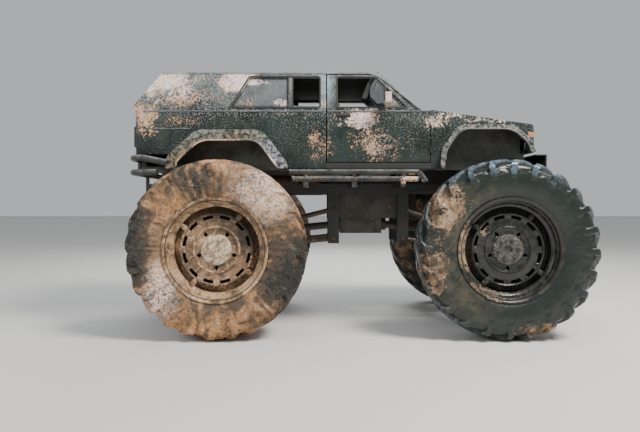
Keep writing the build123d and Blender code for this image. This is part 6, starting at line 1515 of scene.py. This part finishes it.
def woven_cloth(name, thread, second, seed, earth_cover):
    """Plain weave: two crossed sines as threads in its bump, a fleck of a second yarn, dust and splashed mud."""
    material, shader, place = finish_of(name)
    shader.inputs["Sheen Weight"].default_value = 0.35
    x, y, z = (axis(place, label) for label in "XYZ")
    weave = sine((x + z) * THREADS) * sine((y + z * 0.4) * THREADS)
    yarn = fade(noise(place, 160.0, 3.0, 0.7, 0.0, seed), 0.42, 0.60)
    colour = blended(yarn, thread, second)
    worn = fade(noise(place, 4.0, 7.0, 0.72, 0.5, seed + 1.0), 0.44, 0.70)
    colour = blended(worn * 0.5, colour, (0.15, 0.125, 0.098))
    mask, earth, height = mud(place, earth_cover, 3.0, 60.0, seed, WET_EARTH, TAN_EARTH, PALE_EARTH)
    colour = blended(mask, colour, earth)
    lay(shader, colour, 0.78 + worn * 0.15, weave * 0.12 + height, 0.0016)
    return material


SEAT_CLOTH = woven_cloth("seat_cloth", (0.028, 0.027, 0.026), (0.060, 0.056, 0.050), 90.0, 0.22)
SEAT_SIDES = trim_vinyl("seat_sides", (0.016, 0.016, 0.016), (0.028, 0.027, 0.026), 91.0)
# How far the foam may push its cover, how deep the flutes are, the size of the cover's cells, and how many
# frames the pressure works
PUSH, FLUTE_DEPTH, CELL, CLOTH_FRAMES = 0.016, 0.010, 0.006, 20


def points_of(mesh):
    """Places of a mesh's vertices."""
    places = np.empty(len(mesh.vertices) * 3)
    mesh.vertices.foreach_get("co", places)
    return places.reshape(-1, 3)


def blown_out(pad):
    """Places of the pad's vertices once Cloth's pressure has pushed its cover out."""
    cover = pad.modifiers.new("cover", "CLOTH")
    for label, value in (("use_pressure", True), ("uniform_pressure_force", 4.0), ("quality", 4), ("mass", 0.3),
                         ("tension_stiffness", 20.0), ("bending_stiffness", 0.5)):
        setattr(cover.settings, label, value)
    cover.settings.effector_weights.gravity = 0.0
    cover.collision_settings.use_collision = False
    cover.collision_settings.use_self_collision = False
    for step in range(1, CLOTH_FRAMES + 1):
        bpy.context.scene.frame_set(step)
    blown = points_of(pad.evaluated_get(bpy.context.evaluated_depsgraph_get()).data)
    pad.modifiers.remove(cover)
    bpy.context.scene.frame_set(1)
    return blown


def padded_block(name, low, high, radius, lean=0.0, flutes=0):
    """A foam pad: a rounded block, its cover pushed out by cloth pressure, leant back by lean over its height, with
    flutes pressed in as depth * (1 - |sin|) ^ 2 of the way across, over the face between its edges."""
    low, high = np.array(low, float), np.array(high, float)
    pad = block(low + PUSH * 0.55, high - PUSH * 0.55, radius, sides=12)
    pad.name = pad.data.name = name
    mesh_fit = pad.modifiers.new("fit", "REMESH")
    mesh_fit.mode = "VOXEL"
    mesh_fit.voxel_size = CELL
    only(pad)
    bpy.ops.object.modifier_apply(modifier="fit")
    start = points_of(pad.data)
    moved = blown_out(pad) - start
    far = np.linalg.norm(moved, axis=1, keepdims=True)
    start = start + moved * np.minimum(1.0, PUSH / np.maximum(far, 1e-6))
    share = (start - low) / (high - low)
    front, other = (0, 2) if high[2] - low[2] > 0.2 else (2, 0)
    groove = np.abs(np.cos(math.pi * np.clip(share[:, 1], 0, 1) * flutes))
    groove = (1 - np.sqrt(1 - np.clip(groove, 0, 1) ** 2 + 1e-9)) ** 2
    face = np.clip((share[:, front] - 0.55) / 0.25, 0, 1)
    inside = np.clip(np.minimum(share[:, 1], 1 - share[:, 1]) / 0.10, 0, 1)
    inside *= np.clip(np.minimum(share[:, other], 1 - share[:, other]) / 0.14, 0, 1)
    start[:, front] -= FLUTE_DEPTH * groove * face * inside
    start = np.clip(start, low, high)
    start[:, 0] -= lean * np.clip((start[:, 2] - low[2]) / (high[2] - low[2]), 0, 1)
    pad.data.vertices.foreach_set("co", start.ravel())
    pad.data.update()
    pad.data.shade_smooth()
    pad.data.materials.clear()
    pad.data.materials.append(SEAT_CLOTH)
    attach(pad, "chassis")
    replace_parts(pad, "seats")


SEAT_PLACES = [
    # name, back x, depth, middle across, half width, top, flutes
    ("driver", -0.20875, 0.500, SEAT_Y, 0.260, 2.440, 4),
    ("passenger", -0.20875, 0.500, -SEAT_Y, 0.260, 2.440, 4),
    ("bench", -1.03875, 0.480, 0.000, 0.480, 2.360, 8),
]
SEAT_HINGE = [(0.0, 0.036), (0.006, 0.036), (0.012, 0.030), (0.014, 0.012)]
pans = []
for label, x, depth, y, half, top_z, flutes in SEAT_PLACES:
    left, right = y - half, y + half
    padded_block(f"{label}_cushion", (x + 0.100, left + 0.004, 1.890), (x + depth, right - 0.004, 2.008), 0.040,
                 flutes=flutes)
    padded_block(f"{label}_back", (x + 0.008, left + 0.004, 1.975), (x + 0.130, right - 0.004, top_z), 0.045,
                 lean=0.108, flutes=flutes)
    # The pan and its pedestal
    for inset, edge, low_z, high_z, radius in ((0.010, 0.012, 1.868, 1.895, 0.010),
                                               (0.060, 0.060, FLOOR_Z, 1.870, 0.012)):
        pans.append(block((x + inset, left + edge, low_z), (x + depth - inset, right - edge, high_z), radius))
    for side, _ in SIDES:
        pans.append(turned((x + 0.070, y + side * (half - 0.016), 1.930), (0, side, 0), SEAT_HINGE, 28))
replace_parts(finished("seat_frames", pans, SEAT_SIDES, "chassis"), "seats")

low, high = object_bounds()
